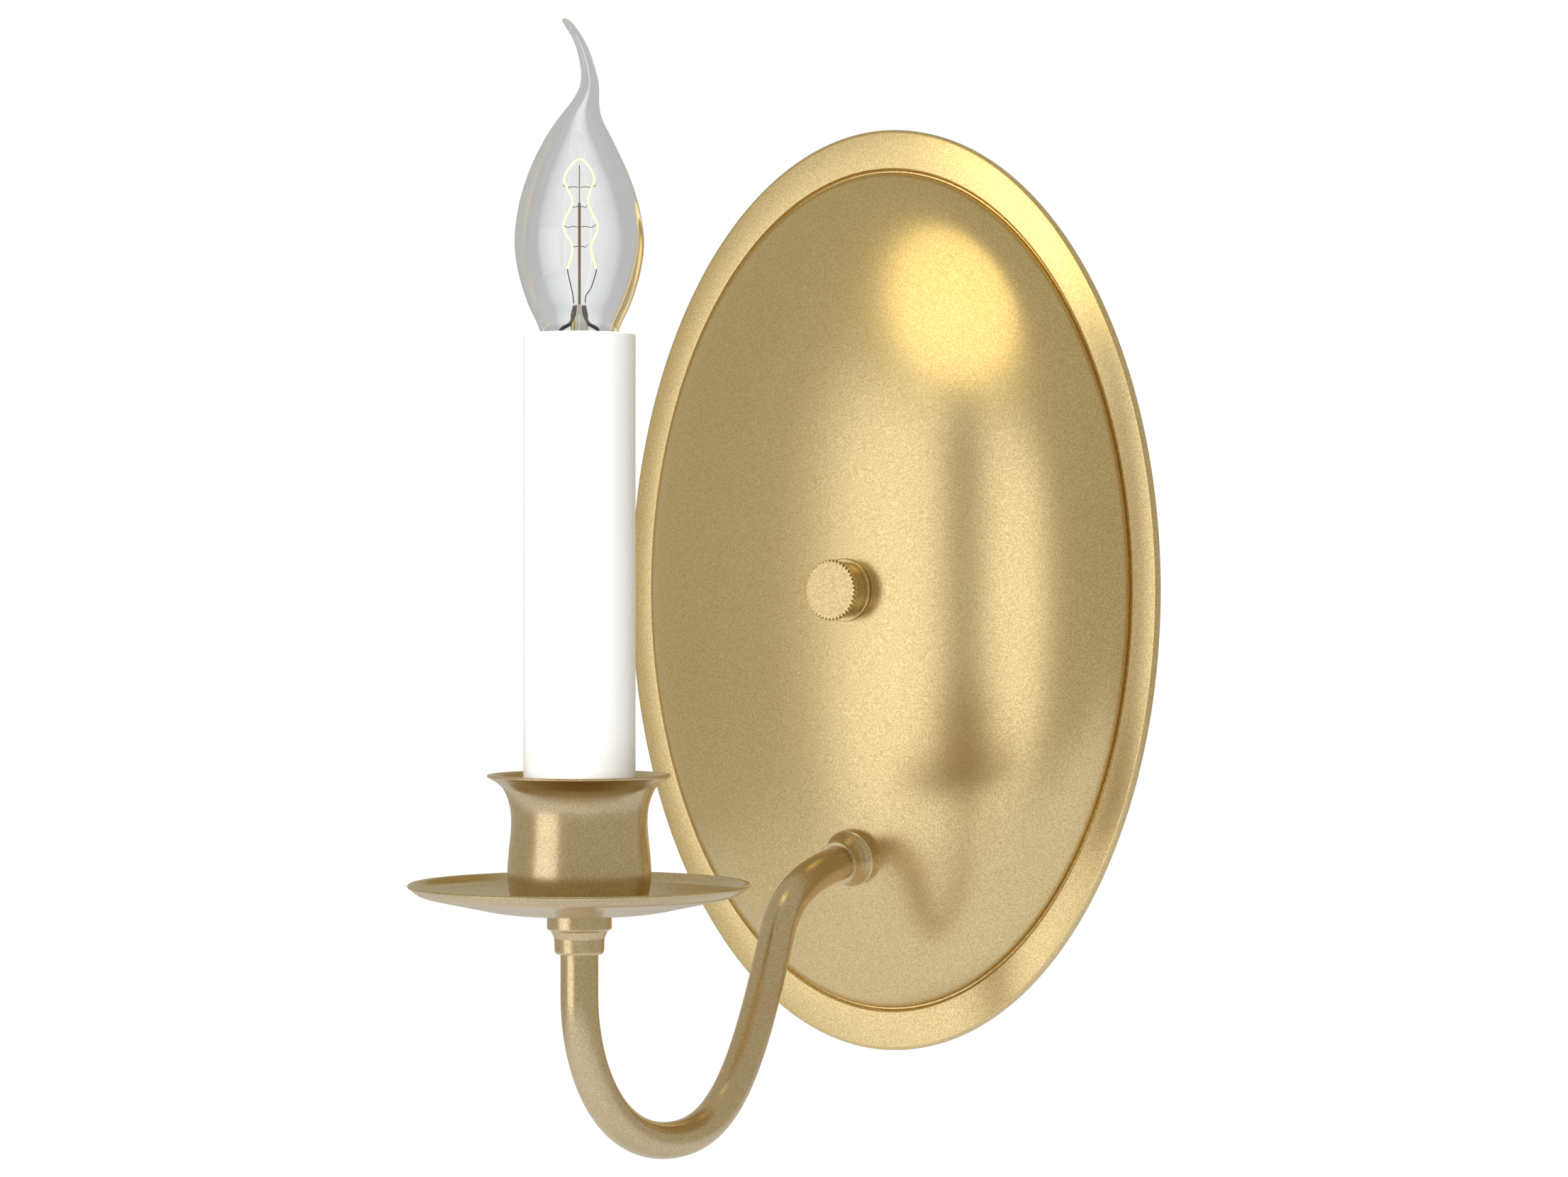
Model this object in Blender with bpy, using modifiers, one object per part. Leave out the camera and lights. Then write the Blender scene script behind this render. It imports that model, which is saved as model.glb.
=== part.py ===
"""Wall sconce with one electric candle: oval domed backplate, bent arm, drip pan, cup and lamp.

Frame: the origin is the centre of the backplate on the wall plane. +Z is up, +X is to the right
when facing the wall, and the sconce stands out of the wall towards -Y. Units are metres.
"""
from math import cos, pi, radians, sin, sqrt

import bmesh
import bpy
from mathutils import Matrix, Vector

MM = 0.001

# ------------------------------------------------------------------ clearances
GAP = 0.3 * MM                  # between two pieces that touch in the real object
RUNNING_GAP = 0.3 * MM          # radial, where a thread or a post passes through a hole

# ------------------------------------------------------------------ backplate
PLATE_HALF_WIDTH = 69.5 * MM
PLATE_HALF_HEIGHT = 101.5 * MM
PLATE_SHEET = 0.8 * MM
PLATE_EDGE_DEPTH = 1.87 * MM    # wall plane to the front of the rim
PLATE_DOME_DEPTH = 16.3 * MM    # wall plane to the crown of the dome
PLATE_RIM_WIDTH = 5.7 * MM      # flat rim, at the side of the oval
PLATE_EDGE_RADIUS = 0.6 * MM
GROOVE_WIDTH = 1.0 * MM
GROOVE_DEPTH = 0.75 * MM
TRIM_DEPTH = 1.0 * MM           # the edge is formed this much too deep, then trimmed flush

# ------------------------------------------------------------------ centre fastener
STUD_RADIUS = 2.1 * MM
THREAD_PITCH = 0.79375 * MM     # 32 threads per inch
THREAD_TURNS = 5                # turns of the thumb nut that take it off the stud
THUMB_NUT_RADIUS = 6.6 * MM
THUMB_NUT_LENGTH = 4.64 * MM
THUMB_NUT_CHAMFER = 0.5 * MM
NUT_WASHER_RADIUS = 6.9 * MM
NUT_WASHER_THICKNESS = 0.6 * MM
STUD_NUT_FLATS = 8.7 * MM
STUD_NUT_HEIGHT = 3.0 * MM

# ------------------------------------------------------------------ crossbar and earth
CROSSBAR_INSET = 19.5 * MM      # from the side of the plate to the end of the bar
CROSSBAR_HEIGHT = 18.0 * MM
CROSSBAR_THICKNESS = 1.6 * MM
SLOT_WIDTH = 4.8 * MM
SLOT_LENGTH = 12.0 * MM
SLOT_END_MARGIN = 10.0 * MM     # from the middle of a slot to the end of the bar
GROUND_SCREW_RADIUS = 2.0 * MM
GROUND_HEAD_RADIUS = 4.3 * MM
GROUND_HEAD_HEIGHT = 2.4 * MM
GROUND_WIRE_RADIUS = 0.8 * MM
GROUND_LUG_THICKNESS = 0.8 * MM

# ------------------------------------------------------------------ arm
ARM_REACH = 109.68 * MM         # wall plane to the candle's axis
ARM_RADIUS = 3.75 * MM
ARM_WALL = 0.8 * MM
ARM_EXIT_DROP = 58.25 * MM      # centre of the plate down to the arm's hole
ARM_TILT = radians(10)          # below the horizontal, where the arm leaves the dome
ARM_THREAD_LENGTH = 7.4 * MM    # part of the arm behind the dome's outer face
ARM_BEND_OUT = 28.95 * MM       # from the dome's face to the steep bend, along Y
ARM_BEND_DROP = 14.7 * MM
ARM_BEND_ANGLE = radians(68.8)  # below the horizontal
ARM_LOW_BACK = 32.0 * MM        # lowest point, behind the candle's axis
ARM_LOW_DROP = 54.1 * MM        # lowest point of the centre line, below the hole
ARM_STRAIGHT = 8.1 * MM         # straight end below the coupling
COLLAR_RADIUS = ARM_RADIUS + 2.45 * MM
COLLAR_SHOULDER_RADIUS = ARM_RADIUS + 1.75 * MM
COLLAR_FRONT_RADIUS = ARM_RADIUS + 0.95 * MM
COLLAR_BAND = 1.6 * MM          # height of the wide band on the dome
COLLAR_LENGTH = 6.4 * MM
LOCK_WASHER_RADIUS = COLLAR_RADIUS + 1.2 * MM
LOCK_WASHER_THICKNESS = 0.7 * MM
ARM_NUT_FLATS = 2 * ARM_RADIUS + 4.5 * MM
ARM_NUT_HEIGHT = 2.6 * MM

# ------------------------------------------------------------------ coupling, pan and cup
SLEEVE_RADIUS = 11.1 * MM       # the cup is spun to fit round it
SLEEVE_WALL = 1.0 * MM
SEAT_Z = -64.1 * MM             # top face of the coupling
COUPLING_NECK_RADIUS = ARM_RADIUS + 1.15 * MM
COUPLING_RADIUS = COUPLING_NECK_RADIUS + 1.52 * MM
COUPLING_HEIGHT = 7.8 * MM
COUPLING_FLANGE = 3.1 * MM      # height of the wide top part
COUPLING_COVE = 1.5 * MM
ARM_IN_COUPLING = 4.2 * MM
PAN_RADIUS = 33.96 * MM
PAN_SHEET = 0.7 * MM
PAN_DEPTH = 5.1 * MM            # seat to the top of the edge
PAN_EDGE_RISE = 1.5 * MM
PAN_EDGE_WIDTH = 2.6 * MM
CUP_WALL = 0.9 * MM
CUP_FLOOR = 1.0 * MM
CUP_FOOT_RADIUS = SLEEVE_RADIUS + 2.2 * MM
CUP_BELLY_RADIUS = SLEEVE_RADIUS + 3.15 * MM
CUP_WAIST_RADIUS = SLEEVE_RADIUS + 2.4 * MM
CUP_NECK_RADIUS = SLEEVE_RADIUS + 3.8 * MM
CUP_LIP_RADIUS = SLEEVE_RADIUS + 7.14 * MM
PAN_SEAT_RADIUS = CUP_FOOT_RADIUS - 0.3 * MM
CUP_HEIGHT = 26.4 * MM
NIPPLE_RADIUS = ARM_RADIUS - 0.05 * MM     # the nipple and the arm share the coupling's bore
NIPPLE_WALL = 0.9 * MM
NIPPLE_IN_COUPLING = 2.9 * MM
NIPPLE_RISE = 11.5 * MM         # above the cup's floor
CUP_NUT_FLATS = 2 * NIPPLE_RADIUS + 4.6 * MM
CUP_NUT_HEIGHT = 2.6 * MM

# ------------------------------------------------------------------ candle sleeve and socket
SLEEVE_TOP_Z = 50.64 * MM
SLEEVE_BORE = SLEEVE_RADIUS - SLEEVE_WALL
BRACKET_WIDTH = 11.0 * MM
BRACKET_THICKNESS = 1.2 * MM
BRACKET_LEG_X = SLEEVE_BORE - 2.5 * MM      # outer face of the leg, from the axis
BRACKET_BEND = 1.6 * MM
BRACKET_FOOT_GAP = 3.7 * MM      # from the end of the foot to the sleeve
SOCKET_RADIUS = SLEEVE_BORE - 0.7 * MM
SOCKET_BASE_Z = 5.6 * MM
SOCKET_TOP_Z = 31.5 * MM
SOCKET_FLOOR = 3.2 * MM
SHELL_THICKNESS = 0.4 * MM
RIVET_RADIUS = 1.4 * MM
RIVET_HEAD_RADIUS = 2.4 * MM
RIVET_HEAD_HEIGHT = 0.8 * MM
TAB_THICKNESS = 0.5 * MM
TAB_WIDTH = 4.0 * MM

# ------------------------------------------------------------------ lamp
CAP_RADIUS = 5.85 * MM
CAP_WALL = 0.4 * MM
CAP_BASE_Z = 14.2 * MM
CAP_TOP_Z = 33.0 * MM
INSULATOR_HEIGHT = 1.7 * MM
INSULATOR_TIP_RADIUS = 2.9 * MM
BUTTON_RADIUS = 2.3 * MM
BUTTON_HEIGHT = 0.9 * MM
GLASS_WALL = 0.7 * MM
GLASS_BASE_Z = 30.0 * MM
GLASS_NECK_RADIUS = 5.05 * MM
GLASS_SIDE = Vector((0.818, 0.575, 0.0))   # sideways direction in which the tip is bent
STEM_FLARE_Z = 31.0 * MM
STEM_TOP_Z = 56.5 * MM
POST_RADIUS = 0.35 * MM
POST_TOP_Z = 84.0 * MM
FILAMENT_RADIUS = 0.22 * MM
FILAMENT_LEAD_RADIUS = 0.25 * MM

# ------------------------------------------------------------------ wiring
LEAD_RADIUS = 0.95 * MM
LEAD_SPREAD = 1.2 * MM          # each lead's distance from the middle of the arm
CONNECTOR_RADIUS = 4.6 * MM
CONNECTOR_LENGTH = 18.0 * MM
CONNECTOR_SPREAD = 15.0 * MM
CONNECTOR_DROP = 40.0 * MM      # mouth of a connector below the centre of the plate

# ------------------------------------------------------------------ resolution
ROUND_STEPS = 40
SMALL_STEPS = 20
PLATE_STEPS = 40
CUP_STEPS = 28
GLASS_STEPS = 20

SCONCE = "wall_sconce"
UP_TO_FRONT = pi / 2            # turns a piece built along +Z to point along -Y


# ================================================================== basic tools
def clear_scene():
    """Remove every object of the startup scene."""
    for obj in list(bpy.data.objects):
        bpy.data.objects.remove(obj)


def new_collection(name):
    """Add a collection to the scene."""
    group = bpy.data.collections.new(name)
    bpy.context.scene.collection.children.link(group)
    return group


def finish(name, colour, roughness, metallic, alpha=1.0):
    """Make a Principled material from a linear colour."""
    mat = bpy.data.materials.new(name)
    mat.use_nodes = True
    shader = mat.node_tree.nodes["Principled BSDF"]
    shader.inputs["Base Color"].default_value = (*colour, 1.0)
    shader.inputs["Roughness"].default_value = roughness
    shader.inputs["Metallic"].default_value = metallic
    shader.inputs["Alpha"].default_value = alpha
    return mat


def place(name, mesh, mat, location=(0, 0, 0), turn=0.0, parent=None):
    """Make one named object from a mesh, turned about X and moved to its place."""
    obj = bpy.data.objects.new(name, mesh)
    parts.objects.link(obj)
    mesh.materials.clear()
    mesh.materials.append(mat)
    obj.location = location
    obj.rotation_euler = (turn, 0, 0)
    obj.parent = parent
    return obj


def make_cutter(obj):
    """Move an object to the cutters and keep it out of the model."""
    for group in list(obj.users_collection):
        group.objects.unlink(obj)
    cutters.objects.link(obj)
    obj.hide_render = True
    obj.display_type = "WIRE"
    return obj


def cut(obj, cutter, operation="DIFFERENCE"):
    """Cut one object with another by an exact Boolean."""
    boolean = obj.modifiers.new("cut", "BOOLEAN")
    boolean.operation = operation
    boolean.solver = "EXACT"
    boolean.object = make_cutter(cutter)


def evaluated_mesh(obj):
    """Return an object's mesh with its modifiers applied, in its own space."""
    depsgraph = bpy.context.evaluated_depsgraph_get()
    depsgraph.update()
    mesh = bpy.data.meshes.new_from_object(obj.evaluated_get(depsgraph))
    return mesh


def drop(obj):
    """Remove a helper object."""
    bpy.data.objects.remove(obj)


def smooth_curve(points, spans):
    """Run a Catmull-Rom curve through points, with a number of spans between neighbours."""
    knots = [Vector(p) for p in points]
    first = knots[0] * 2 - knots[1]
    last = knots[-1] * 2 - knots[-2]
    padded = [first] + knots + [last]
    line = []
    for i in range(1, len(padded) - 2):
        a, b, c, d = padded[i - 1:i + 3]
        for step in range(spans):
            t = step / spans
            line.append(0.5 * (2 * b + (c - a) * t + (2 * a - 5 * b + 4 * c - d) * t ** 2
                               + (3 * b - a - 3 * c + d) * t ** 3))
    line.append(knots[-1])
    return line


def offset_inward(line, thickness):
    """Offset a turned outline of (radius, height) points towards its inner side."""
    moved = []
    for i, point in enumerate(line):
        before = line[max(i - 1, 0)]
        after = line[min(i + 1, len(line) - 1)]
        along = (after - before).normalized()
        moved.append(point + Vector((along.y, -along.x)) * -thickness)
    return moved


def profile_mesh(name, points, closed):
    """Make a mesh of edges from (radius, height) points."""
    mesh = bpy.data.meshes.new(name)
    verts = [(p[0], 0, p[1]) for p in points]
    edges = [(i, i + 1) for i in range(len(verts) - 1)]
    if closed:
        edges.append((len(verts) - 1, 0))
    mesh.from_pydata(verts, edges, [])
    return mesh


def turned(name, points, mat, closed=False, steps=ROUND_STEPS, **where):
    """Turn a profile about its own Z axis. The profile runs down its outer side."""
    obj = place(name, profile_mesh(name, points, closed), mat, **where)
    screw = obj.modifiers.new("turn", "SCREW")
    screw.axis = "Z"
    screw.angle = 2 * pi
    screw.steps = steps
    screw.render_steps = steps
    screw.use_merge_vertices = True
    screw.merge_threshold = 0.00001
    screw.use_smooth_shade = True
    return obj


def ring_profile(outer, inner, top, bottom):
    """Give the closed profile of a plain ring."""
    return [(outer, top), (outer, bottom), (inner, bottom), (inner, top)]


def box(name, low, high, mat, **where):
    """Make a box between two corners."""
    mesh = bpy.data.meshes.new(name)
    shape = bmesh.new()
    bmesh.ops.create_cube(shape, size=1.0)
    size = Vector(high) - Vector(low)
    middle = (Vector(high) + Vector(low)) / 2
    shape.transform(Matrix.Translation(middle) @ Matrix.Diagonal((*size, 1.0)))
    shape.to_mesh(mesh)
    shape.free()
    return place(name, mesh, mat, **where)


def cylinder(name, radius, bottom, top, mat, sides=SMALL_STEPS, tip_radius=None, **where):
    """Make a cylinder, prism or cone along its own Z axis."""
    mesh = bpy.data.meshes.new(name)
    shape = bmesh.new()
    upper = radius if tip_radius is None else tip_radius
    bmesh.ops.create_cone(shape, cap_ends=True, segments=sides, radius1=radius, radius2=upper,
                          depth=top - bottom)
    shape.transform(Matrix.Translation((0, 0, (top + bottom) / 2)))
    shape.to_mesh(mesh)
    shape.free()
    return place(name, mesh, mat, **where)


def hex_nut(name, flats, bottom, top, bore, mat, **where):
    """Make a hex nut with a round bore along its own Z axis."""
    corner_radius = flats / 2 / cos(pi / 6)
    nut = cylinder(name, corner_radius, bottom, top, mat, sides=6, **where)
    hole = cylinder(name + "_bore", bore, bottom - 1 * MM, top + 1 * MM, mat, **where)
    cut(nut, hole)
    return nut


def round_wire(name, points, radius, mat, parent=None):
    """Make a solid wire along a line of points."""
    curve = bpy.data.curves.new(name, "CURVE")
    curve.dimensions = "3D"
    curve.bevel_depth = radius
    curve.bevel_resolution = 1
    curve.use_fill_caps = True
    spline = curve.splines.new("POLY")
    spline.points.add(len(points) - 1)
    for knot, point in zip(spline.points, points):
        knot.co = (*point, 1.0)
    curve.materials.append(mat)
    obj = bpy.data.objects.new(name, curve)
    parts.objects.link(obj)
    obj.parent = parent
    return obj


# ================================================================== shape of the dome
DOME_EDGE = PLATE_HALF_WIDTH - PLATE_RIM_WIDTH - GROOVE_WIDTH
GROOVE_FLOOR = PLATE_EDGE_DEPTH - GROOVE_DEPTH
DOME_RISE = PLATE_DOME_DEPTH - GROOVE_FLOOR
DOME_EDGE_HEIGHT = DOME_EDGE * PLATE_HALF_HEIGHT / PLATE_HALF_WIDTH


def dome_depth(x, z):
    """Depth of the dome's outer face in front of the wall."""
    share = (x / DOME_EDGE) ** 2 + (z / DOME_EDGE_HEIGHT) ** 2
    return GROOVE_FLOOR + DOME_RISE * sqrt(1 - share)


def mid_hollow(x, z):
    """Y of the middle of the hollow behind the dome, between crossbar and dome."""
    back = CROSSBAR_THICKNESS
    front = dome_depth(x, z) - PLATE_SHEET
    return -(back + front) / 2


ARM_EXIT = Vector((0, -dome_depth(0, -ARM_EXIT_DROP), -ARM_EXIT_DROP))
ARM_AXIS = Vector((0, -cos(ARM_TILT), -sin(ARM_TILT)))
ARM_HOLE_RADIUS = ARM_RADIUS + RUNNING_GAP
CANDLE = Vector((0, -ARM_REACH, 0))
PAN_BOTTOM_Z = SEAT_Z + GAP
CUP_BOTTOM_Z = PAN_BOTTOM_Z + PAN_SHEET + GAP
CUP_FLOOR_Z = CUP_BOTTOM_Z + CUP_FLOOR
NIPPLE_HOLE_RADIUS = NIPPLE_RADIUS + RUNNING_GAP
NIPPLE_TOP_Z = CUP_FLOOR_Z + NIPPLE_RISE


# ================================================================== backplate
def build_backplate():
    """Stamp the oval plate: dome, groove, flat rim and turned-down edge, with two holes."""
    dome = [Vector((DOME_EDGE * sin(angle), -dome_depth(DOME_EDGE * sin(angle), 0)))
            for angle in (radians(a) for a in (0, 15, 30, 45, 59, 72, 83))]
    rim_start = PLATE_HALF_WIDTH - PLATE_RIM_WIDTH
    rim_end = PLATE_HALF_WIDTH - PLATE_EDGE_RADIUS
    rest = [(DOME_EDGE, -GROOVE_FLOOR), (rim_start, -PLATE_EDGE_DEPTH), (rim_end, -PLATE_EDGE_DEPTH),
            (PLATE_HALF_WIDTH, -PLATE_EDGE_DEPTH + PLATE_EDGE_RADIUS), (PLATE_HALF_WIDTH, TRIM_DEPTH)]
    outline = [(p.x, -p.y) for p in dome] + [(r, -d) for r, d in rest]
    blank = turned("plate_blank", outline, brass, steps=PLATE_STEPS)
    mesh = evaluated_mesh(blank)
    drop(blank)
    stretch = PLATE_HALF_HEIGHT / PLATE_HALF_WIDTH
    mesh.transform(Matrix.Rotation(UP_TO_FRONT, 4, "X"))
    mesh.transform(Matrix.Diagonal((1, 1, stretch, 1)))
    plate = place("backplate", mesh, brass)
    wall = plate.modifiers.new("sheet", "SOLIDIFY")
    wall.thickness = PLATE_SHEET
    wall.offset = -1
    wall.use_even_offset = True
    cut(plate, box("edge_trim", (-PLATE_HALF_WIDTH * 1.1, 0, -PLATE_HALF_HEIGHT * 1.1),
                   (PLATE_HALF_WIDTH * 1.1, 3 * TRIM_DEPTH, PLATE_HALF_HEIGHT * 1.1), brass))
    depth = PLATE_DOME_DEPTH + 5 * MM
    cut(plate, cylinder("stud_hole", STUD_RADIUS + RUNNING_GAP, 0, depth, brass, turn=UP_TO_FRONT))
    cut(plate, cylinder("arm_hole", ARM_HOLE_RADIUS, -ARM_THREAD_LENGTH, ARM_THREAD_LENGTH, brass,
                        turn=UP_TO_FRONT + ARM_TILT, location=ARM_EXIT))
    return plate


# ================================================================== centre fastener
NUT_WASHER_BACK = PLATE_DOME_DEPTH + GAP
THUMB_NUT_BACK = NUT_WASHER_BACK + NUT_WASHER_THICKNESS + GAP
THREAD_ENGAGED = THREAD_TURNS * THREAD_PITCH
STUD_HOLE_RADIUS = STUD_RADIUS + RUNNING_GAP


def build_centre_fastener():
    """Build the stud, its lock nut, and the washer and thumb nut that hold the plate."""
    thumb_axis = bpy.data.objects.new("thumb_nut_axis", None)
    parts.objects.link(thumb_axis)
    thumb_axis.rotation_euler = (UP_TO_FRONT, 0, 0)
    stud_end = THUMB_NUT_BACK + THREAD_ENGAGED - GAP * 3
    cylinder("mounting_stud", STUD_RADIUS, GAP, stud_end, zinc, parent=thumb_axis)
    nut_back = CROSSBAR_THICKNESS + GAP
    hex_nut("stud_lock_nut", STUD_NUT_FLATS, nut_back, nut_back + STUD_NUT_HEIGHT,
            STUD_HOLE_RADIUS, zinc, parent=thumb_axis)
    washer = ring_profile(NUT_WASHER_RADIUS, STUD_HOLE_RADIUS,
                          NUT_WASHER_BACK + NUT_WASHER_THICKNESS, NUT_WASHER_BACK)
    turned("nut_washer", washer, brass, closed=True, steps=SMALL_STEPS + 4, parent=thumb_axis)
    front = THUMB_NUT_BACK + THUMB_NUT_LENGTH
    bore_end = THUMB_NUT_BACK + THREAD_ENGAGED - GAP * 2
    nut = [(0, front), (THUMB_NUT_RADIUS - THUMB_NUT_CHAMFER, front),
           (THUMB_NUT_RADIUS, front - THUMB_NUT_CHAMFER),
           (THUMB_NUT_RADIUS, THUMB_NUT_BACK + THUMB_NUT_CHAMFER),
           (THUMB_NUT_RADIUS - THUMB_NUT_CHAMFER, THUMB_NUT_BACK),
           (STUD_HOLE_RADIUS, THUMB_NUT_BACK), (STUD_HOLE_RADIUS, bore_end), (0, bore_end)]
    turned("thumb_nut", nut, brass, steps=SMALL_STEPS + 4, parent=thumb_axis)


# ================================================================== crossbar and earth
BAR_HALF_LENGTH = PLATE_HALF_WIDTH - CROSSBAR_INSET
SLOT_X = BAR_HALF_LENGTH - SLOT_END_MARGIN
GROUND_SCREW_X = SLOT_X - SLOT_LENGTH / 2 - GROUND_HEAD_RADIUS - 2.7 * MM


def slot_cutter(name, middle_x):
    """Make the cutter of one round-ended slot through the crossbar."""
    half = (SLOT_LENGTH - SLOT_WIDTH) / 2
    depth = CROSSBAR_THICKNESS + 1 * MM
    body = box(name, (middle_x - half, -depth, -SLOT_WIDTH / 2), (middle_x + half, 1 * MM, SLOT_WIDTH / 2),
               steel)
    for side in (-1, 1):
        end = cylinder(name + "_end", SLOT_WIDTH / 2, -1 * MM, depth, steel, turn=UP_TO_FRONT,
                       location=(middle_x + side * half, 0, 0))
        cut(body, end, "UNION")
    return body


def build_crossbar():
    """Build the mounting strap with its two slots, stud hole and earth screw."""
    bar = box("crossbar", (-BAR_HALF_LENGTH, -CROSSBAR_THICKNESS, -CROSSBAR_HEIGHT / 2),
              (BAR_HALF_LENGTH, 0, CROSSBAR_HEIGHT / 2), steel)
    cut(bar, slot_cutter("slot_left", -SLOT_X))
    cut(bar, slot_cutter("slot_right", SLOT_X))
    depth = CROSSBAR_THICKNESS + 1 * MM
    cut(bar, cylinder("bar_stud_hole", STUD_HOLE_RADIUS, -1 * MM, depth, steel, turn=UP_TO_FRONT))
    cut(bar, cylinder("bar_earth_hole", GROUND_SCREW_RADIUS + RUNNING_GAP, -1 * MM, depth, steel,
                      turn=UP_TO_FRONT, location=(GROUND_SCREW_X, 0, 0)))
    under_head = CROSSBAR_THICKNESS + 2 * GAP + 2 * GROUND_WIRE_RADIUS
    screw = [(0, under_head + GROUND_HEAD_HEIGHT), (GROUND_HEAD_RADIUS, under_head + GROUND_HEAD_HEIGHT),
             (GROUND_HEAD_RADIUS, under_head), (GROUND_SCREW_RADIUS, under_head),
             (GROUND_SCREW_RADIUS, GAP), (0, GAP)]
    turned("ground_screw", screw, green, steps=SMALL_STEPS, turn=UP_TO_FRONT,
           location=(GROUND_SCREW_X, 0, 0))


def build_ground_wire():
    """Run the earth wire from a hook round its screw to the lug under the arm's nut."""
    hook_y = -(CROSSBAR_THICKNESS + GAP + GROUND_WIRE_RADIUS)
    hook_radius = GROUND_SCREW_RADIUS + GAP + GROUND_WIRE_RADIUS
    hook = []
    for degrees in range(150, -61, -30):
        angle = radians(degrees)
        hook.append((GROUND_SCREW_X + hook_radius * cos(angle), hook_y, hook_radius * sin(angle)))
    lug = lug_tail()
    low_x = GROUND_SCREW_X
    bar_edge_z = -CROSSBAR_HEIGHT / 2
    route = [hook[-1], (low_x - 1 * MM, hook_y - 0.5 * MM, bar_edge_z),
             (low_x + 2 * MM, mid_hollow(low_x, bar_edge_z), 2.2 * bar_edge_z),
             (low_x, mid_hollow(low_x, 4 * bar_edge_z), 4 * bar_edge_z),
             (lug.x + 6 * MM, lug.y + 1.6 * MM, lug.z + 1 * MM), lug]
    round_wire("ground_wire", hook[:-1] + smooth_curve(route, 4), GROUND_WIRE_RADIUS, copper)


# ================================================================== arm
def lug_tail():
    """Point at which the earth wire meets the end of the lug's tongue."""
    depth = PLATE_SHEET + washer_seat() + LOCK_WASHER_THICKNESS + GAP + GROUND_LUG_THICKNESS / 2
    reach = LOCK_WASHER_RADIUS + 6 * MM + GROUND_WIRE_RADIUS + GAP
    return ARM_EXIT - ARM_AXIS * depth + Vector((reach, 0, 0))


def washer_seat():
    """Depth behind the dome's sheet, along the arm's axis, at which the lock washer lies flat."""
    across = ARM_AXIS.cross(Vector((1, 0, 0)))
    low = 0.0
    for degrees in range(0, 360, 15):
        ring = Vector((cos(radians(degrees)), 0, 0)) + across * sin(radians(degrees))
        point = ARM_EXIT + ring * LOCK_WASHER_RADIUS
        height = 0.0
        for _ in range(8):
            on_axis = point + ARM_AXIS * height
            height += (dome_depth(on_axis.x, on_axis.z) + on_axis.y) / cos(ARM_TILT)
        low = min(low, height)
    return max(2 * GAP, GAP / 2 - low)


def behind_dome(start, thickness):
    """Heights, along the arm's axis, of a piece that lies behind the dome's sheet."""
    back = -(PLATE_SHEET + start + thickness)
    return back, back + thickness


def dome_cutter():
    """Make the solid under the dome's outer face, with a gap, that seats the collar on it."""
    mesh = bpy.data.meshes.new("dome_cutter")
    shape = bmesh.new()
    bmesh.ops.create_uvsphere(shape, u_segments=64, v_segments=32, radius=1.0)
    shape.transform(Matrix.Diagonal((DOME_EDGE + GAP, DOME_RISE + GAP, DOME_EDGE_HEIGHT + GAP, 1.0)))
    shape.to_mesh(mesh)
    shape.free()
    return place("dome_cutter", mesh, brass, location=(0, -GROOVE_FLOOR, 0))


def build_arm_fasteners():
    """Build the collar on the dome, and the earth lug, lock washer and nut behind it."""
    where = {"turn": UP_TO_FRONT + ARM_TILT, "location": ARM_EXIT}
    sunk = 2 * MM
    collar = [(COLLAR_FRONT_RADIUS, COLLAR_LENGTH), (COLLAR_FRONT_RADIUS, COLLAR_LENGTH - 1.2 * MM),
              (COLLAR_FRONT_RADIUS + 0.3 * MM, COLLAR_LENGTH - 2.2 * MM),
              (COLLAR_SHOULDER_RADIUS, COLLAR_BAND + 1.6 * MM),
              (COLLAR_RADIUS - 0.1 * MM, COLLAR_BAND + 0.2 * MM),
              (COLLAR_RADIUS, COLLAR_BAND), (COLLAR_RADIUS, -sunk), (ARM_HOLE_RADIUS, -sunk),
              (ARM_HOLE_RADIUS, COLLAR_LENGTH)]
    collar = turned("arm_collar", collar, brass, closed=True, steps=SMALL_STEPS + 4, **where)
    cut(collar, dome_cutter())
    washer_start = washer_seat()
    low, high = behind_dome(washer_start, LOCK_WASHER_THICKNESS)
    turned("arm_lock_washer", ring_profile(LOCK_WASHER_RADIUS, ARM_HOLE_RADIUS, high, low), zinc,
           closed=True, steps=SMALL_STEPS, **where)
    lug_start = washer_start + LOCK_WASHER_THICKNESS + GAP
    low, high = behind_dome(lug_start, GROUND_LUG_THICKNESS)
    lug = turned("ground_lug", ring_profile(LOCK_WASHER_RADIUS, ARM_HOLE_RADIUS, high, low), zinc,
                 closed=True, steps=SMALL_STEPS, **where)
    tongue = box("lug_tongue", (LOCK_WASHER_RADIUS - 1 * MM, -2 * MM, low),
                 (LOCK_WASHER_RADIUS + 6 * MM - GAP, 2 * MM, high), zinc, **where)
    cut(lug, tongue, "UNION")
    nut_start = lug_start + GROUND_LUG_THICKNESS + GAP
    low, high = behind_dome(nut_start, ARM_NUT_HEIGHT)
    hex_nut("arm_lock_nut", ARM_NUT_FLATS, low, high, ARM_HOLE_RADIUS, zinc, **where)


def below(angle, length):
    """Step forwards and down at an angle below the horizontal, in the arm's plane."""
    return Vector((0, -cos(angle), -sin(angle))) * length


ARM_COUPLED_Z = SEAT_Z - COUPLING_HEIGHT + ARM_IN_COUPLING


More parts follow.
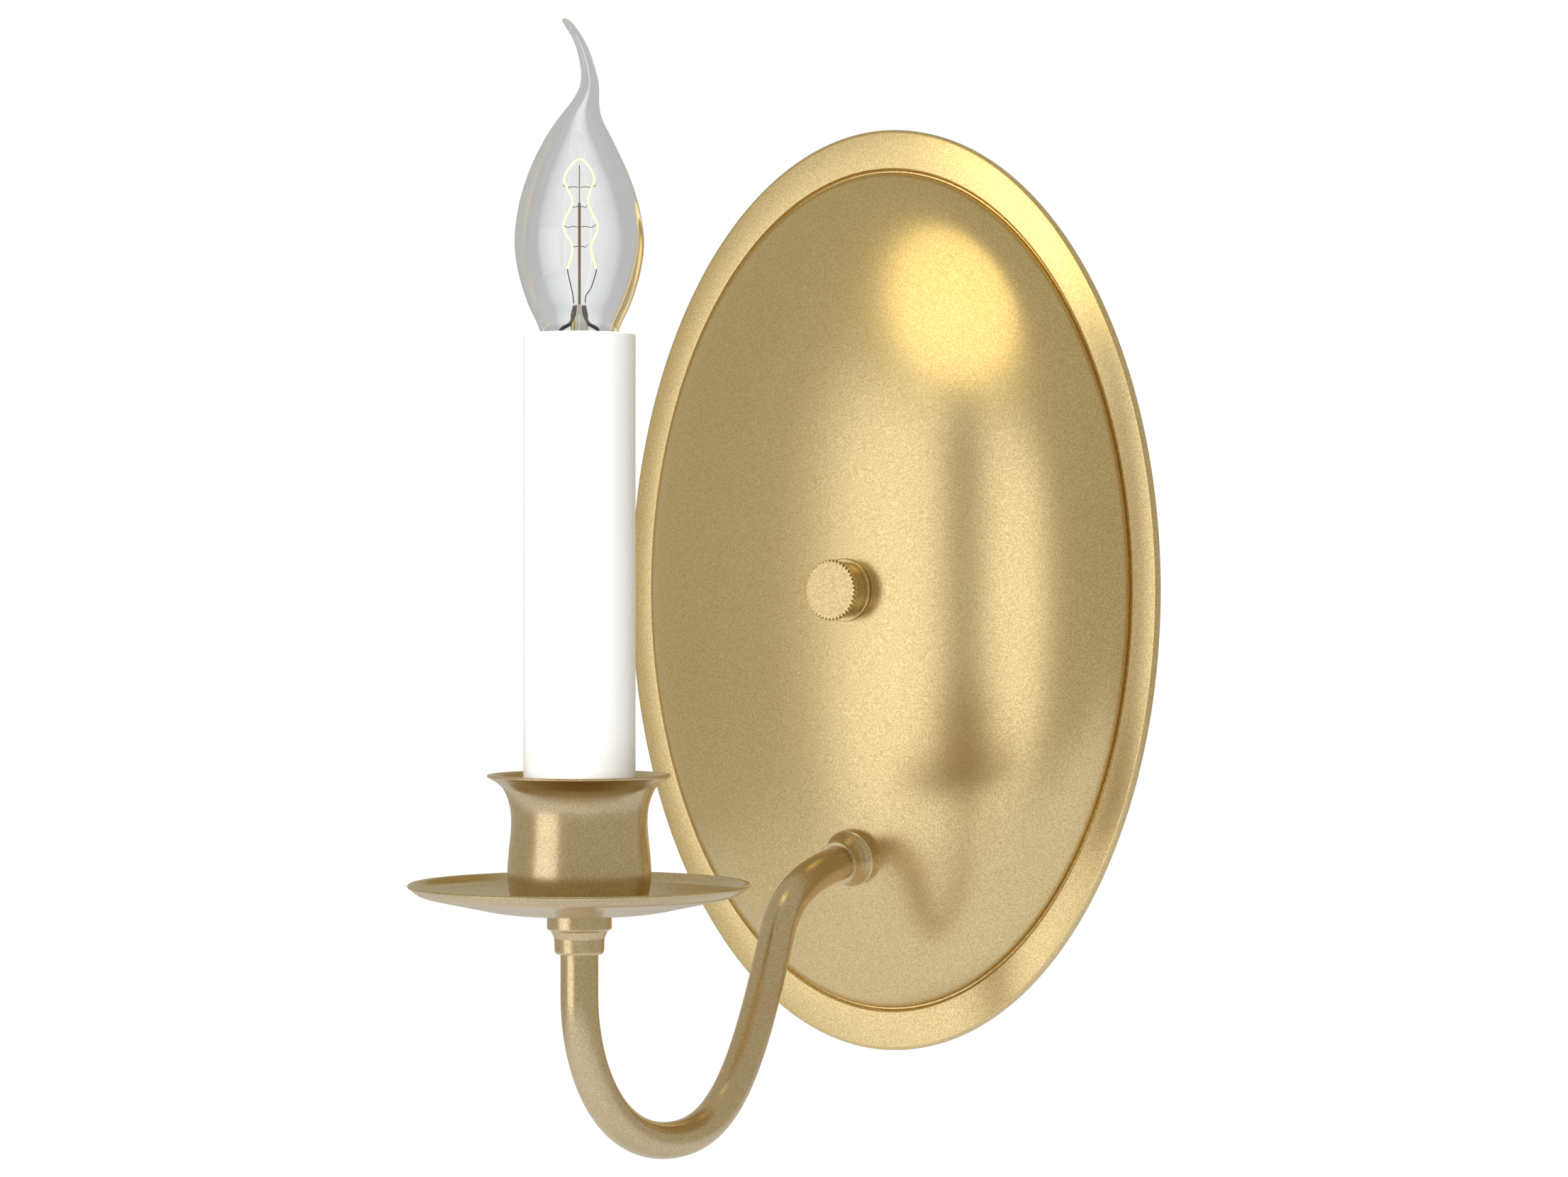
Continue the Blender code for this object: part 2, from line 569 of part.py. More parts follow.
def arm_knots():
    """Knots of the arm's centre line, each with its handles towards the wall and the candle."""
    inner = ARM_EXIT - ARM_AXIS * ARM_THREAD_LENGTH
    front = ARM_EXIT + ARM_AXIS * COLLAR_LENGTH
    bend = ARM_EXIT + Vector((0, -ARM_BEND_OUT, -ARM_BEND_DROP))
    low = Vector((0, ARM_LOW_BACK - ARM_REACH, ARM_EXIT.z - ARM_LOW_DROP))
    rise = CANDLE + Vector((0, 0, SEAT_Z - COUPLING_HEIGHT - ARM_STRAIGHT))
    top = CANDLE + Vector((0, 0, ARM_COUPLED_Z))
    third = ARM_AXIS * (ARM_THREAD_LENGTH / 3)
    return [
        (inner, inner - third, inner + third),
        (front, front - third, front + ARM_AXIS * 6.7 * MM),
        (bend, bend - below(ARM_BEND_ANGLE, 11.0 * MM), bend + below(ARM_BEND_ANGLE, 29.6 * MM)),
        (low, low + Vector((0, 17.0 * MM, 0)), low - Vector((0, 21.3 * MM, 0))),
        (rise, rise - Vector((0, 0, 15.9 * MM)), rise + Vector((0, 0, 3 * MM))),
        (top, top - Vector((0, 0, 3 * MM)), top + Vector((0, 0, 3 * MM))),
    ]


def arm_line(counts):
    """Points along the arm's centre line, with a count of spans for each stretch."""
    knots = arm_knots()
    line = []
    for (a, _, b), (d, c, _), count in zip(knots, knots[1:], counts):
        for step in range(count):
            t = step / count
            line.append(a * (1 - t) ** 3 + b * 3 * (1 - t) ** 2 * t + c * 3 * (1 - t) * t * t + d * t ** 3)
    line.append(knots[-1][0])
    return line


def build_arm():
    """Bend the hollow arm."""
    curve = bpy.data.curves.new("arm_path", "CURVE")
    curve.dimensions = "3D"
    curve.bevel_depth = ARM_RADIUS
    curve.bevel_resolution = 4
    spline = curve.splines.new("POLY")
    points = arm_line((2, 6, 7, 8, 1))
    spline.points.add(len(points) - 1)
    for knot, point in zip(spline.points, points):
        knot.co = (*point, 1.0)
    path = bpy.data.objects.new("arm_path", curve)
    parts.objects.link(path)
    mesh = evaluated_mesh(path)
    drop(path)
    arm = place("arm_tube", mesh, brass)
    wall = arm.modifiers.new("wall", "SOLIDIFY")
    wall.thickness = ARM_WALL
    wall.offset = -1
    wall.use_even_offset = True


# ================================================================== coupling, pan and cup
def build_coupling():
    """Turn the coupling that joins the arm to the nipple."""
    bottom = SEAT_Z - COUPLING_HEIGHT
    flange_low = SEAT_Z - COUPLING_FLANGE
    neck_top = flange_low - COUPLING_COVE
    outer = [(COUPLING_RADIUS, SEAT_Z), (COUPLING_RADIUS, flange_low),
             (COUPLING_NECK_RADIUS + 0.4 * MM, flange_low - COUPLING_COVE / 2),
             (COUPLING_NECK_RADIUS, neck_top), (COUPLING_NECK_RADIUS - 0.1 * MM, bottom + 0.3 * MM),
             (COUPLING_NECK_RADIUS - 0.3 * MM, bottom)]
    bore = [(NIPPLE_HOLE_RADIUS, bottom), (NIPPLE_HOLE_RADIUS, SEAT_Z)]
    turned("coupling", outer + bore, brass, closed=True, steps=SMALL_STEPS, location=CANDLE)


def build_pan():
    """Spin the shallow drip pan."""
    seat = PAN_BOTTOM_Z + PAN_SHEET
    rim = seat + PAN_DEPTH
    edge_low = rim - PAN_EDGE_RISE
    inner_edge = PAN_RADIUS - PAN_EDGE_WIDTH
    top = [Vector((NIPPLE_HOLE_RADIUS, seat)), Vector((PAN_SEAT_RADIUS, seat)),
           Vector((PAN_SEAT_RADIUS + 9 * MM, seat + (edge_low - seat) * 0.4)),
           Vector((inner_edge, edge_low)), Vector((PAN_RADIUS - 0.8 * MM, rim))]
    under = [Vector((PAN_RADIUS, rim - 0.3 * MM)), Vector((inner_edge + 0.6 * MM, edge_low - PAN_SHEET)),
             Vector((PAN_SEAT_RADIUS + 9 * MM, seat + (edge_low - seat) * 0.4 - PAN_SHEET)),
             Vector((PAN_SEAT_RADIUS, PAN_BOTTOM_Z)), Vector((NIPPLE_HOLE_RADIUS, PAN_BOTTOM_Z))]
    turned("drip_pan", top + under, brass, closed=True, location=CANDLE)


def build_cup():
    """Spin the waisted cup with its flared lip."""
    bottom = CUP_BOTTOM_Z
    lip = bottom + CUP_HEIGHT
    side = [Vector((CUP_FOOT_RADIUS, bottom + 1.2 * MM)), Vector((CUP_BELLY_RADIUS, bottom + 6.6 * MM)),
            Vector((CUP_WAIST_RADIUS, bottom + 16.2 * MM)),
            Vector((CUP_NECK_RADIUS, lip - 3.1 * MM)), Vector((CUP_LIP_RADIUS - 0.3 * MM, lip - 0.6 * MM))]
    outer = smooth_curve(side, 2)
    inner = offset_inward(outer, CUP_WALL)
    outer_down = list(reversed(outer))
    lip_edge = [Vector((CUP_LIP_RADIUS - 0.5 * MM, lip)), Vector((CUP_LIP_RADIUS, lip - 0.3 * MM))]
    floor = CUP_FLOOR_Z
    inner_side = [p for p in inner if p.y > floor + 0.5 * MM]
    foot = [Vector((CUP_FOOT_RADIUS - 1.2 * MM, bottom)), Vector((NIPPLE_HOLE_RADIUS, bottom)),
            Vector((NIPPLE_HOLE_RADIUS, floor)), Vector((inner_side[0].x - 0.4 * MM, floor))]
    turned("candle_cup", lip_edge + outer_down + foot + inner_side, brass, closed=True,
           steps=CUP_STEPS, location=CANDLE)


def build_nipple():
    """Build the hollow threaded tube and the nut that clamps cup and pan to the coupling."""
    bottom = SEAT_Z - NIPPLE_IN_COUPLING
    tube = ring_profile(NIPPLE_RADIUS, NIPPLE_RADIUS - NIPPLE_WALL, NIPPLE_TOP_Z, bottom)
    turned("cup_nipple", tube, zinc, closed=True, steps=SMALL_STEPS, location=CANDLE)
    low = CUP_FLOOR_Z + GAP
    hex_nut("cup_lock_nut", CUP_NUT_FLATS, low, low + CUP_NUT_HEIGHT, NIPPLE_HOLE_RADIUS, zinc,
            location=CANDLE)


# ================================================================== sleeve and socket
SLEEVE_BOTTOM_Z = CUP_FLOOR_Z + GAP
BRACKET_FOOT_Z = CUP_FLOOR_Z + 2 * GAP + CUP_NUT_HEIGHT
SHELL_INNER_RADIUS = CAP_RADIUS + RUNNING_GAP
SHELL_RADIUS = SHELL_INNER_RADIUS + SHELL_THICKNESS
SOCKET_BORE = SHELL_RADIUS + RUNNING_GAP
SOCKET_FLOOR_Z = SOCKET_BASE_Z + SOCKET_FLOOR
BUTTON_BOTTOM_Z = CAP_BASE_Z - GAP - INSULATOR_HEIGHT - GAP - BUTTON_HEIGHT
LEAD_HOLE_RADIUS = LEAD_RADIUS + RUNNING_GAP
LEAD_HOLE_OFFSET = 5.4 * MM


def build_sleeve():
    """Build the white tube that looks like a candle."""
    tube = ring_profile(SLEEVE_RADIUS, SLEEVE_BORE, SLEEVE_TOP_Z, SLEEVE_BOTTOM_Z)
    turned("candle_sleeve", tube, ivory, closed=True, steps=CUP_STEPS, location=CANDLE)


def bend_points(corner, start, end, radius):
    """Round one corner of a strip's outline with three points."""
    towards_start = (start - corner).normalized() * radius
    towards_end = (end - corner).normalized() * radius
    middle = corner + (towards_start + towards_end) * 0.29
    return [corner + towards_start, middle, corner + towards_end]


def strip(name, outline, width, thickness, mat, location):
    """Fold a strip of sheet that runs along an outline in the XZ plane."""
    mesh = bpy.data.meshes.new(name)
    shape = bmesh.new()
    rows = []
    for x, z in outline:
        rows.append([shape.verts.new((x, side * width / 2, z)) for side in (-1, 1)])
    for a, b in zip(rows, rows[1:]):
        shape.faces.new((a[0], a[1], b[1], b[0]))
    shape.to_mesh(mesh)
    shape.free()
    obj = place(name, mesh, mat, location=location)
    sheet = obj.modifiers.new("sheet", "SOLIDIFY")
    sheet.thickness = thickness
    sheet.offset = 0
    sheet.use_even_offset = True
    return obj


def build_bracket():
    """Fold the strip that carries the socket on the nipple, and rivet it."""
    middle = BRACKET_THICKNESS / 2
    foot_z = BRACKET_FOOT_Z + middle
    leg_x = -(BRACKET_LEG_X - middle)
    head_z = SOCKET_BASE_Z - GAP - middle
    foot_end = Vector((SLEEVE_BORE - BRACKET_FOOT_GAP, foot_z))
    low_corner = Vector((leg_x, foot_z))
    high_corner = Vector((leg_x, head_z))
    head_end = Vector((RIVET_HEAD_RADIUS + 0.8 * MM, head_z))
    outline = ([foot_end] + bend_points(low_corner, foot_end, high_corner, BRACKET_BEND)
               + bend_points(high_corner, low_corner, head_end, BRACKET_BEND) + [head_end])
    bracket = strip("socket_bracket", outline, BRACKET_WIDTH, BRACKET_THICKNESS, zinc, CANDLE)
    cut(bracket, cylinder("bracket_nipple_hole", NIPPLE_HOLE_RADIUS, BRACKET_FOOT_Z - 1 * MM,
                          BRACKET_FOOT_Z + BRACKET_THICKNESS + 1 * MM, zinc, location=CANDLE))
    cut(bracket, cylinder("bracket_rivet_hole", RIVET_RADIUS + RUNNING_GAP, head_z - 2 * MM,
                          head_z + 2 * MM, zinc, location=CANDLE))
    for side in (-1, 1):
        cut(bracket, cylinder("bracket_lead_hole", LEAD_HOLE_RADIUS + 0.4 * MM, head_z - 2 * MM,
                              head_z + 2 * MM, zinc,
                              location=CANDLE + Vector((0, side * LEAD_HOLE_OFFSET, 0))))
    head_bottom = head_z - middle - GAP
    rivet_top = SOCKET_BASE_Z + SOCKET_FLOOR - 1 * MM
    rivet = [(0, rivet_top), (RIVET_RADIUS, rivet_top),
             (RIVET_RADIUS, head_bottom), (RIVET_HEAD_RADIUS, head_bottom),
             (RIVET_HEAD_RADIUS * 0.7, head_bottom - RIVET_HEAD_HEIGHT), (0, head_bottom - RIVET_HEAD_HEIGHT)]
    turned("socket_rivet", rivet, zinc, steps=SMALL_STEPS, location=CANDLE)


def build_socket():
    """Build the insulating body, the threaded shell and the centre contact."""
    body = [(SOCKET_RADIUS, SOCKET_TOP_Z), (SOCKET_RADIUS, SOCKET_BASE_Z),
            (RIVET_RADIUS + RUNNING_GAP, SOCKET_BASE_Z), (RIVET_RADIUS + RUNNING_GAP, SOCKET_FLOOR_Z),
            (SOCKET_BORE, SOCKET_FLOOR_Z), (SOCKET_BORE, SOCKET_TOP_Z)]
    socket = turned("socket_body", body, black, closed=True, steps=SMALL_STEPS, location=CANDLE)
    for side in (-1, 1):
        cut(socket, cylinder("lead_hole", LEAD_HOLE_RADIUS, SOCKET_BASE_Z - 1 * MM,
                             SOCKET_BASE_Z + SOCKET_FLOOR - 1 * MM, black,
                             location=CANDLE + Vector((0, side * LEAD_HOLE_OFFSET, 0))))
    shell = ring_profile(SHELL_RADIUS, SHELL_INNER_RADIUS, SOCKET_TOP_Z - 2 * MM, SOCKET_FLOOR_Z + 2.4 * MM)
    turned("screw_shell", shell, brass, closed=True, steps=SMALL_STEPS, location=CANDLE)
    tab_top = BUTTON_BOTTOM_Z - GAP - TAB_THICKNESS / 2
    tab_low = SOCKET_FLOOR_Z + GAP + TAB_THICKNESS / 2
    reach = SOCKET_BORE - 2 * MM
    outline = [Vector((-reach, tab_low)), Vector((reach * 0.4, tab_low)),
               Vector((reach * 0.75, tab_low + 0.3 * MM)), Vector((reach * 0.4, (tab_low + tab_top) / 2)),
               Vector((0, tab_top)), Vector((-2 * MM, tab_top))]
    strip("centre_contact", outline, TAB_WIDTH, TAB_THICKNESS, brass, CANDLE)


# ================================================================== lamp
def lamp_axis():
    """Make the empty on the lamp's screw axis that its turning pieces hang on."""
    axis = bpy.data.objects.new("lamp_axis", None)
    parts.objects.link(axis)
    axis.location = CANDLE
    return axis


GLASS_OUTLINE = [
    (GLASS_NECK_RADIUS, GLASS_BASE_Z), (GLASS_NECK_RADIUS, 34.5 * MM), (5.9 * MM, 42.0 * MM),
    (7.7 * MM, 51.0 * MM), (10.3 * MM, 57.0 * MM), (12.2 * MM, 63.5 * MM), (12.8 * MM, 69.5 * MM),
    (11.9 * MM, 76.0 * MM), (9.9 * MM, 82.4 * MM), (7.0 * MM, 88.6 * MM), (3.3 * MM, 95.3 * MM),
    (1.75 * MM, 100.5 * MM), (1.2 * MM, 107.0 * MM), (0.95 * MM, 112.0 * MM),
]
GLASS_TOP_Z = 113.1 * MM
TIP_SWAY = [(86.0, -0.25), (93.0, 0.1), (99.5, 1.95), (104.5, 1.4), (109.0, -0.2), (113.1, -2.9)]


def tip_offset(z):
    """Sideways offset of the glass's middle line at a height."""
    heights = [h * MM for h, _ in TIP_SWAY]
    if z <= heights[0]:
        return 0.0
    line = smooth_curve([(h * MM, s * MM) for h, s in TIP_SWAY], 6)
    for low, high in zip(line, line[1:]):
        if z <= high.x:
            share = (z - low.x) / (high.x - low.x)
            return low.y + (high.y - low.y) * share
    return line[-1].y


def build_glass(axis):
    """Blow the flame-shaped envelope with its bent tip, open at the neck."""
    rising = smooth_curve(GLASS_OUTLINE, 1)
    outline = [(0, GLASS_TOP_Z), (0.6 * MM, GLASS_TOP_Z - 0.3 * MM)]
    outline += [(p.x, p.y) for p in reversed(rising)]
    blank = turned("glass_blank", outline, glass, steps=GLASS_STEPS)
    mesh = evaluated_mesh(blank)
    drop(blank)
    for vert in mesh.vertices:
        vert.co += GLASS_SIDE * tip_offset(vert.co.z)
    envelope = place("bulb_glass", mesh, glass, parent=axis)
    wall = envelope.modifiers.new("wall", "SOLIDIFY")
    wall.thickness = GLASS_WALL
    wall.offset = -1
    wall.use_even_offset = False


def build_lamp_cap(axis):
    """Build the threaded cap, the insulator below it and the contact button."""
    inner = CAP_RADIUS - CAP_WALL
    cap = [(CAP_RADIUS, CAP_TOP_Z), (CAP_RADIUS, CAP_BASE_Z + 1.2 * MM), (CAP_RADIUS - 0.8 * MM, CAP_BASE_Z),
           (inner - 1.2 * MM, CAP_BASE_Z), (inner, CAP_BASE_Z + 1.2 * MM), (inner, CAP_TOP_Z)]
    turned("bulb_cap", cap, brass, closed=True, steps=SMALL_STEPS + 4, parent=axis)
    low = CAP_BASE_Z - GAP - INSULATOR_HEIGHT
    cylinder("cap_insulator", INSULATOR_TIP_RADIUS, low, low + INSULATOR_HEIGHT, black,
             tip_radius=CAP_RADIUS - 0.9 * MM, parent=axis)
    button = [(0, BUTTON_BOTTOM_Z + BUTTON_HEIGHT), (BUTTON_RADIUS, BUTTON_BOTTOM_Z + BUTTON_HEIGHT),
              (BUTTON_RADIUS * 0.8, BUTTON_BOTTOM_Z + 0.3 * MM), (0, BUTTON_BOTTOM_Z)]
    turned("contact_button", button, zinc, steps=SMALL_STEPS, location=CANDLE)


STEM_RADIUS = 1.7 * MM
LEAD_FOOT = 1.15 * MM


def build_stem(axis):
    """Build the flared glass stem, its post, the two lead wires and the filament."""
    flare = GLASS_NECK_RADIUS - GLASS_WALL - 2 * GAP
    stem = [(0, STEM_TOP_Z), (STEM_RADIUS * 0.8, STEM_TOP_Z), (STEM_RADIUS, STEM_TOP_Z - 2 * MM),
            (STEM_RADIUS, STEM_FLARE_Z + 8 * MM), (flare, STEM_FLARE_Z), (0, STEM_FLARE_Z)]
    turned("glass_stem", stem, glass, steps=SMALL_STEPS, parent=axis)
    foot_z = STEM_TOP_Z + GAP
    cylinder("filament_post", POST_RADIUS, foot_z, POST_TOP_Z, glass, sides=8, parent=axis)
    hooks = {-1: (-2.3 * MM, 63.0 * MM), 1: (3.3 * MM, 63.0 * MM)}
    for side, name in ((-1, "filament_lead_left"), (1, "filament_lead_right")):
        reach, height = hooks[side]
        points = [GLASS_SIDE * (side * LEAD_FOOT) + Vector((0, 0, foot_z)),
                  GLASS_SIDE * (side * LEAD_FOOT * 1.1) + Vector((0, 0, foot_z + 1.5 * MM)),
                  GLASS_SIDE * (reach * 0.7) + Vector((0, 0, (foot_z + height) / 2)),
                  GLASS_SIDE * reach + Vector((0, 0, height))]
        round_wire(name, points, FILAMENT_LEAD_RADIUS, steel, parent=axis)
    loop = [(-2.3, 63.6), (-1.4, 67.8), (-3.2, 72.1), (-1.4, 76.9), (-3.0, 81.4), (0.1, 85.2),
            (2.9, 81.6), (1.7, 76.9), (3.6, 71.9), (2.3, 67.8), (3.3, 63.6)]
    route = smooth_curve([(s * MM, h * MM) for s, h in loop], 3)
    points = [GLASS_SIDE * p.x + Vector((0, 0, p.y)) for p in route]
    round_wire("bulb_filament", points, FILAMENT_RADIUS, steel, parent=axis)


# ================================================================== wiring
def lead_route(side):
    """Route of one lead from the socket, down the nipple and arm, to its connector."""
    shift = Vector((side * LEAD_SPREAD, 0, 0))
    socket_end = CANDLE + Vector((0, side * LEAD_HOLE_OFFSET, SOCKET_BASE_Z + 1 * MM))
    fall = [socket_end, socket_end - Vector((0, 0, 6 * MM))]
    mouth = CANDLE + Vector((0, 0, NIPPLE_TOP_Z))
    fall += [mouth + Vector((side * LEAD_SPREAD * 1.4, side * 3.6 * MM, 34 * MM)),
             mouth + Vector((side * LEAD_SPREAD * 1.2, side * 1.6 * MM, 14 * MM)),
             mouth + shift + Vector((0, 0, 3 * MM))]
    inside = [p + shift for p in reversed(arm_line((1, 5, 6, 7, 1)))]
    arm_end = inside[-1]
    mouth_x = side * CONNECTOR_SPREAD
    mouth_z = -CONNECTOR_DROP
    mouth_y = mid_hollow(mouth_x, mouth_z)
    behind = [arm_end - ARM_AXIS * 1.6 * MM + Vector((side * 0.6 * MM, 0, 0.6 * MM)),
              Vector((side * 7.2 * MM, (arm_end.y + mouth_y) / 2 + 1 * MM, mouth_z - 12.5 * MM)),
              Vector((mouth_x, mouth_y, mouth_z - 7 * MM)),
              Vector((mouth_x, mouth_y, mouth_z + 3 * MM))]
    return smooth_curve(fall, 3)[:-1] + smooth_curve([fall[-1]] + inside[:2], 1)[:-1] + inside[1:-1] \
        + smooth_curve([arm_end] + behind, 4)


def build_wiring():
    """Build the two leads and their twist-on connectors."""
    for side, colour, mat in ((1, "black", black), (-1, "white", ivory)):
        round_wire("lead_" + colour, lead_route(side), LEAD_RADIUS, mat)
        mouth_x = side * CONNECTOR_SPREAD
        mouth = Vector((mouth_x, mid_hollow(mouth_x, -CONNECTOR_DROP), -CONNECTOR_DROP))
        bore = LEAD_RADIUS + 1.2 * MM
        cap = [(0, CONNECTOR_LENGTH), (CONNECTOR_RADIUS * 0.5, CONNECTOR_LENGTH),
               (CONNECTOR_RADIUS * 0.62, CONNECTOR_LENGTH - 1 * MM), (CONNECTOR_RADIUS * 0.85, 5 * MM),
               (CONNECTOR_RADIUS, 4 * MM), (CONNECTOR_RADIUS, 0), (bore, 0), (bore, 12 * MM), (0, 12 * MM)]
        turned("wire_connector_" + colour, cap, orange, steps=SMALL_STEPS, location=mouth)


# ================================================================== build
clear_scene()
parts = new_collection(SCONCE)
cutters = new_collection("cutters")
brass = finish("satin_brass", (0.56, 0.43, 0.25), 0.35, 1.0)
zinc = finish("zinc_plated_steel", (0.62, 0.62, 0.60), 0.35, 1.0)
steel = finish("steel", (0.50, 0.50, 0.50), 0.4, 1.0)
green = finish("green_earth_screw", (0.05, 0.30, 0.10), 0.4, 0.6)
copper = finish("copper", (0.75, 0.38, 0.22), 0.35, 1.0)
ivory = finish("white_plastic", (0.87, 0.87, 0.85), 0.4, 0.0)
black = finish("black_insulation", (0.03, 0.03, 0.03), 0.5, 0.0)
orange = finish("orange_plastic", (0.80, 0.25, 0.04), 0.5, 0.0)
glass = finish("clear_glass", (0.95, 0.95, 0.93), 0.05, 0.0, alpha=0.25)

build_backplate()
build_centre_fastener()
build_crossbar()
build_arm_fasteners()
build_ground_wire()
build_arm()
build_coupling()
build_pan()
build_cup()
build_nipple()
build_sleeve()
build_bracket()
build_socket()
turning = lamp_axis()
build_glass(turning)
build_lamp_cap(turning)
build_stem(turning)
build_wiring()
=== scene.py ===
"""Studio scene of a wall sconce: satin brass plate, bent arm, drip pan, cup, white candle and lit lamp.

Everything is in metres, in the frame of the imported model: the wall is the plane y = 0, +Z is up
and the sconce stands out towards -Y.
"""

import logging
from collections.abc import Callable, Iterator, Sequence
from contextlib import contextmanager
from dataclasses import dataclass, field
from enum import Enum
from functools import cache
from math import cos, pi, radians, sin, sqrt, tan

import bmesh
import bpy
from bpy.types import ID, Material, Mesh, Node, NodeSocket, NodeTree, Object
from mathutils import Matrix, Vector


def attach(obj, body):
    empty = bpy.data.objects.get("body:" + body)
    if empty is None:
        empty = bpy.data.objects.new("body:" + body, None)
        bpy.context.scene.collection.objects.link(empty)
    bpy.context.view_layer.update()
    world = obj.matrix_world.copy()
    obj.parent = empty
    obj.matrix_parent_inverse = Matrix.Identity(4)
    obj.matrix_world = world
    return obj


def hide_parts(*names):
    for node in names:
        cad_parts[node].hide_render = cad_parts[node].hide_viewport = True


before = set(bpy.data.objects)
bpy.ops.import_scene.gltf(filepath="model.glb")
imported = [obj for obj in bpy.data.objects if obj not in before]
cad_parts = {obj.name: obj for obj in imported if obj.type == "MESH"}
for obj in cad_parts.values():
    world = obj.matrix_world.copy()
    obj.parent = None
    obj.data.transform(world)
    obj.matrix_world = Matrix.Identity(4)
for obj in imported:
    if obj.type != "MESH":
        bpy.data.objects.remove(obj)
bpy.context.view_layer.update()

LOG = logging.getLogger("sconce")
MM = 0.001
TO_FRONT = Matrix.Rotation(pi / 2, 4, "X")      # turns a piece built along +Z to point along -Y
STUD_THREAD = 1259.84       # turns in a metre: 32 in an inch
NIPPLE_THREAD = 1063.0      # 27 in an inch
LAMP_THREAD = 393.7         # 10 in an inch
NUT_FLATS = 12 * MM

Rows = list[list[Vector]]
Point = tuple[float, float, float]


class Body(Enum):
    """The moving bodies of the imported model."""

    FIXTURE = "fixture"
    WASHER = "nut_carriage"
    THUMB_NUT = "thumb_nut"
    SLEEVE = "sleeve"
    BUTTON = "lamp_carriage"
    LAMP = "lamp"


class Wrap(Enum):
    """Whether the rows of a skin close on themselves."""

    OPEN = "open"
    CLOSED = "closed"


# ================================================================== nodes
def linear(code: str) -> tuple[float, float, float, float]:
    """Turn an sRGB hex code into linear red, green, blue and alpha.

    Args:
        code: a colour such as "#E0C080".

    Returns:
        The four linear values.
    """
    shares = [int(code[i:i + 2], 16) / 255 for i in (1, 3, 5)]
    values = [s / 12.92 if s <= 0.04045 else ((s + 0.055) / 1.055) ** 2.4 for s in shares]
    return values[0], values[1], values[2], 1.0


def add_node(tree: NodeTree, kind: str, inputs: dict | None = None, settings: dict | None = None) -> Node:
    """Add one node to a tree.

    Args:
        tree: the tree that takes the node.
        kind: the node's type name.
        inputs: its inputs by name or number, each a value or an output socket to link.
        settings: its properties by name.

    Returns:
        The new node.
    """
    node = tree.nodes.new(kind)
    for name, value in (settings or {}).items():
        setattr(node, name, value)
    for key, value in (inputs or {}).items():
        if isinstance(value, NodeSocket):
            tree.links.new(value, node.inputs[key])
        else:
            node.inputs[key].default_value = value
    return node


def link_new(name: str, data: ID) -> Object:
    """Make an object and link it into the scene.

    Args:
        name: the object's name.
        data: its data.

    Returns:
        The object.
    """
    obj = bpy.data.objects.new(name, data)
    bpy.context.scene.collection.objects.link(obj)
    return obj


def new_material(name: str) -> tuple[Material, NodeTree, Node]:
    """Make a material.

    Args:
        name: the material's name.

    Returns:
        The material, its tree and its shader.
    """
    mat = bpy.data.materials.new(name)
    mat.use_nodes = True
    return mat, mat.node_tree, mat.node_tree.nodes["Principled BSDF"]


def shape_tree(name: str, sizes: dict[str, str]) -> tuple[NodeTree, Node]:
    """Start a Geometry Nodes tree with named inputs.

    Args:
        name: the tree's name.
        sizes: each input's name and its kind: Float, Int or Bool.

    Returns:
        The tree and its group input node.
    """
    tree = bpy.data.node_groups.new(name, "GeometryNodeTree")
    tree.interface.new_socket("Geometry", in_out="INPUT", socket_type="NodeSocketGeometry")
    for size, kind in sizes.items():
        tree.interface.new_socket(size, in_out="INPUT", socket_type=f"NodeSocket{kind}")
    tree.interface.new_socket("Finish", in_out="INPUT", socket_type="NodeSocketMaterial")
    tree.interface.new_socket("Geometry", in_out="OUTPUT", socket_type="NodeSocketGeometry")
    return tree, add_node(tree, "NodeGroupInput")


def close_tree(tree: NodeTree, given: Node, shape: NodeSocket) -> None:
    """End a shape tree: make its instances real, smooth them and give them their finish.

    Args:
        tree: the tree.
        given: its group input node.
        shape: the geometry so far.
    """
    real = add_node(tree, "GeometryNodeRealizeInstances", {"Geometry": shape})
    smooth = add_node(tree, "GeometryNodeSetShadeSmooth", {"Geometry": real.outputs[0]})
    dressed = add_node(tree, "GeometryNodeSetMaterial",
                       {"Geometry": smooth.outputs[0], "Material": given.outputs["Finish"]})
    add_node(tree, "NodeGroupOutput", {"Geometry": dressed.outputs[0]})


def run_tree(mesh: Mesh, tree: NodeTree, **sizes: object) -> Mesh:
    """Run a shape tree on a mesh and keep only the resulting plain mesh.

    Args:
        mesh: the mesh that goes in.
        tree: the shape tree.
        sizes: its named inputs.

    Returns:
        The evaluated mesh.
    """
    holder = link_new("holder", mesh)
    modifier = holder.modifiers.new("shape", "NODES")
    modifier.node_group = tree
    keys = {item.name: item.identifier for item in tree.interface.items_tree
            if item.item_type == "SOCKET" and item.in_out == "INPUT"}
    for name, value in sizes.items():
        modifier[keys[name]] = value
    return take_mesh(holder)


def take_mesh(holder: Object) -> Mesh:
    """Take the evaluated mesh out of an object and remove the object.

    Args:
        holder: the object.

    Returns:
        Its mesh.
    """
    graph = bpy.context.evaluated_depsgraph_get()
    graph.update()
    mesh = bpy.data.meshes.new_from_object(holder.evaluated_get(graph))
    bpy.data.objects.remove(holder)
    return mesh


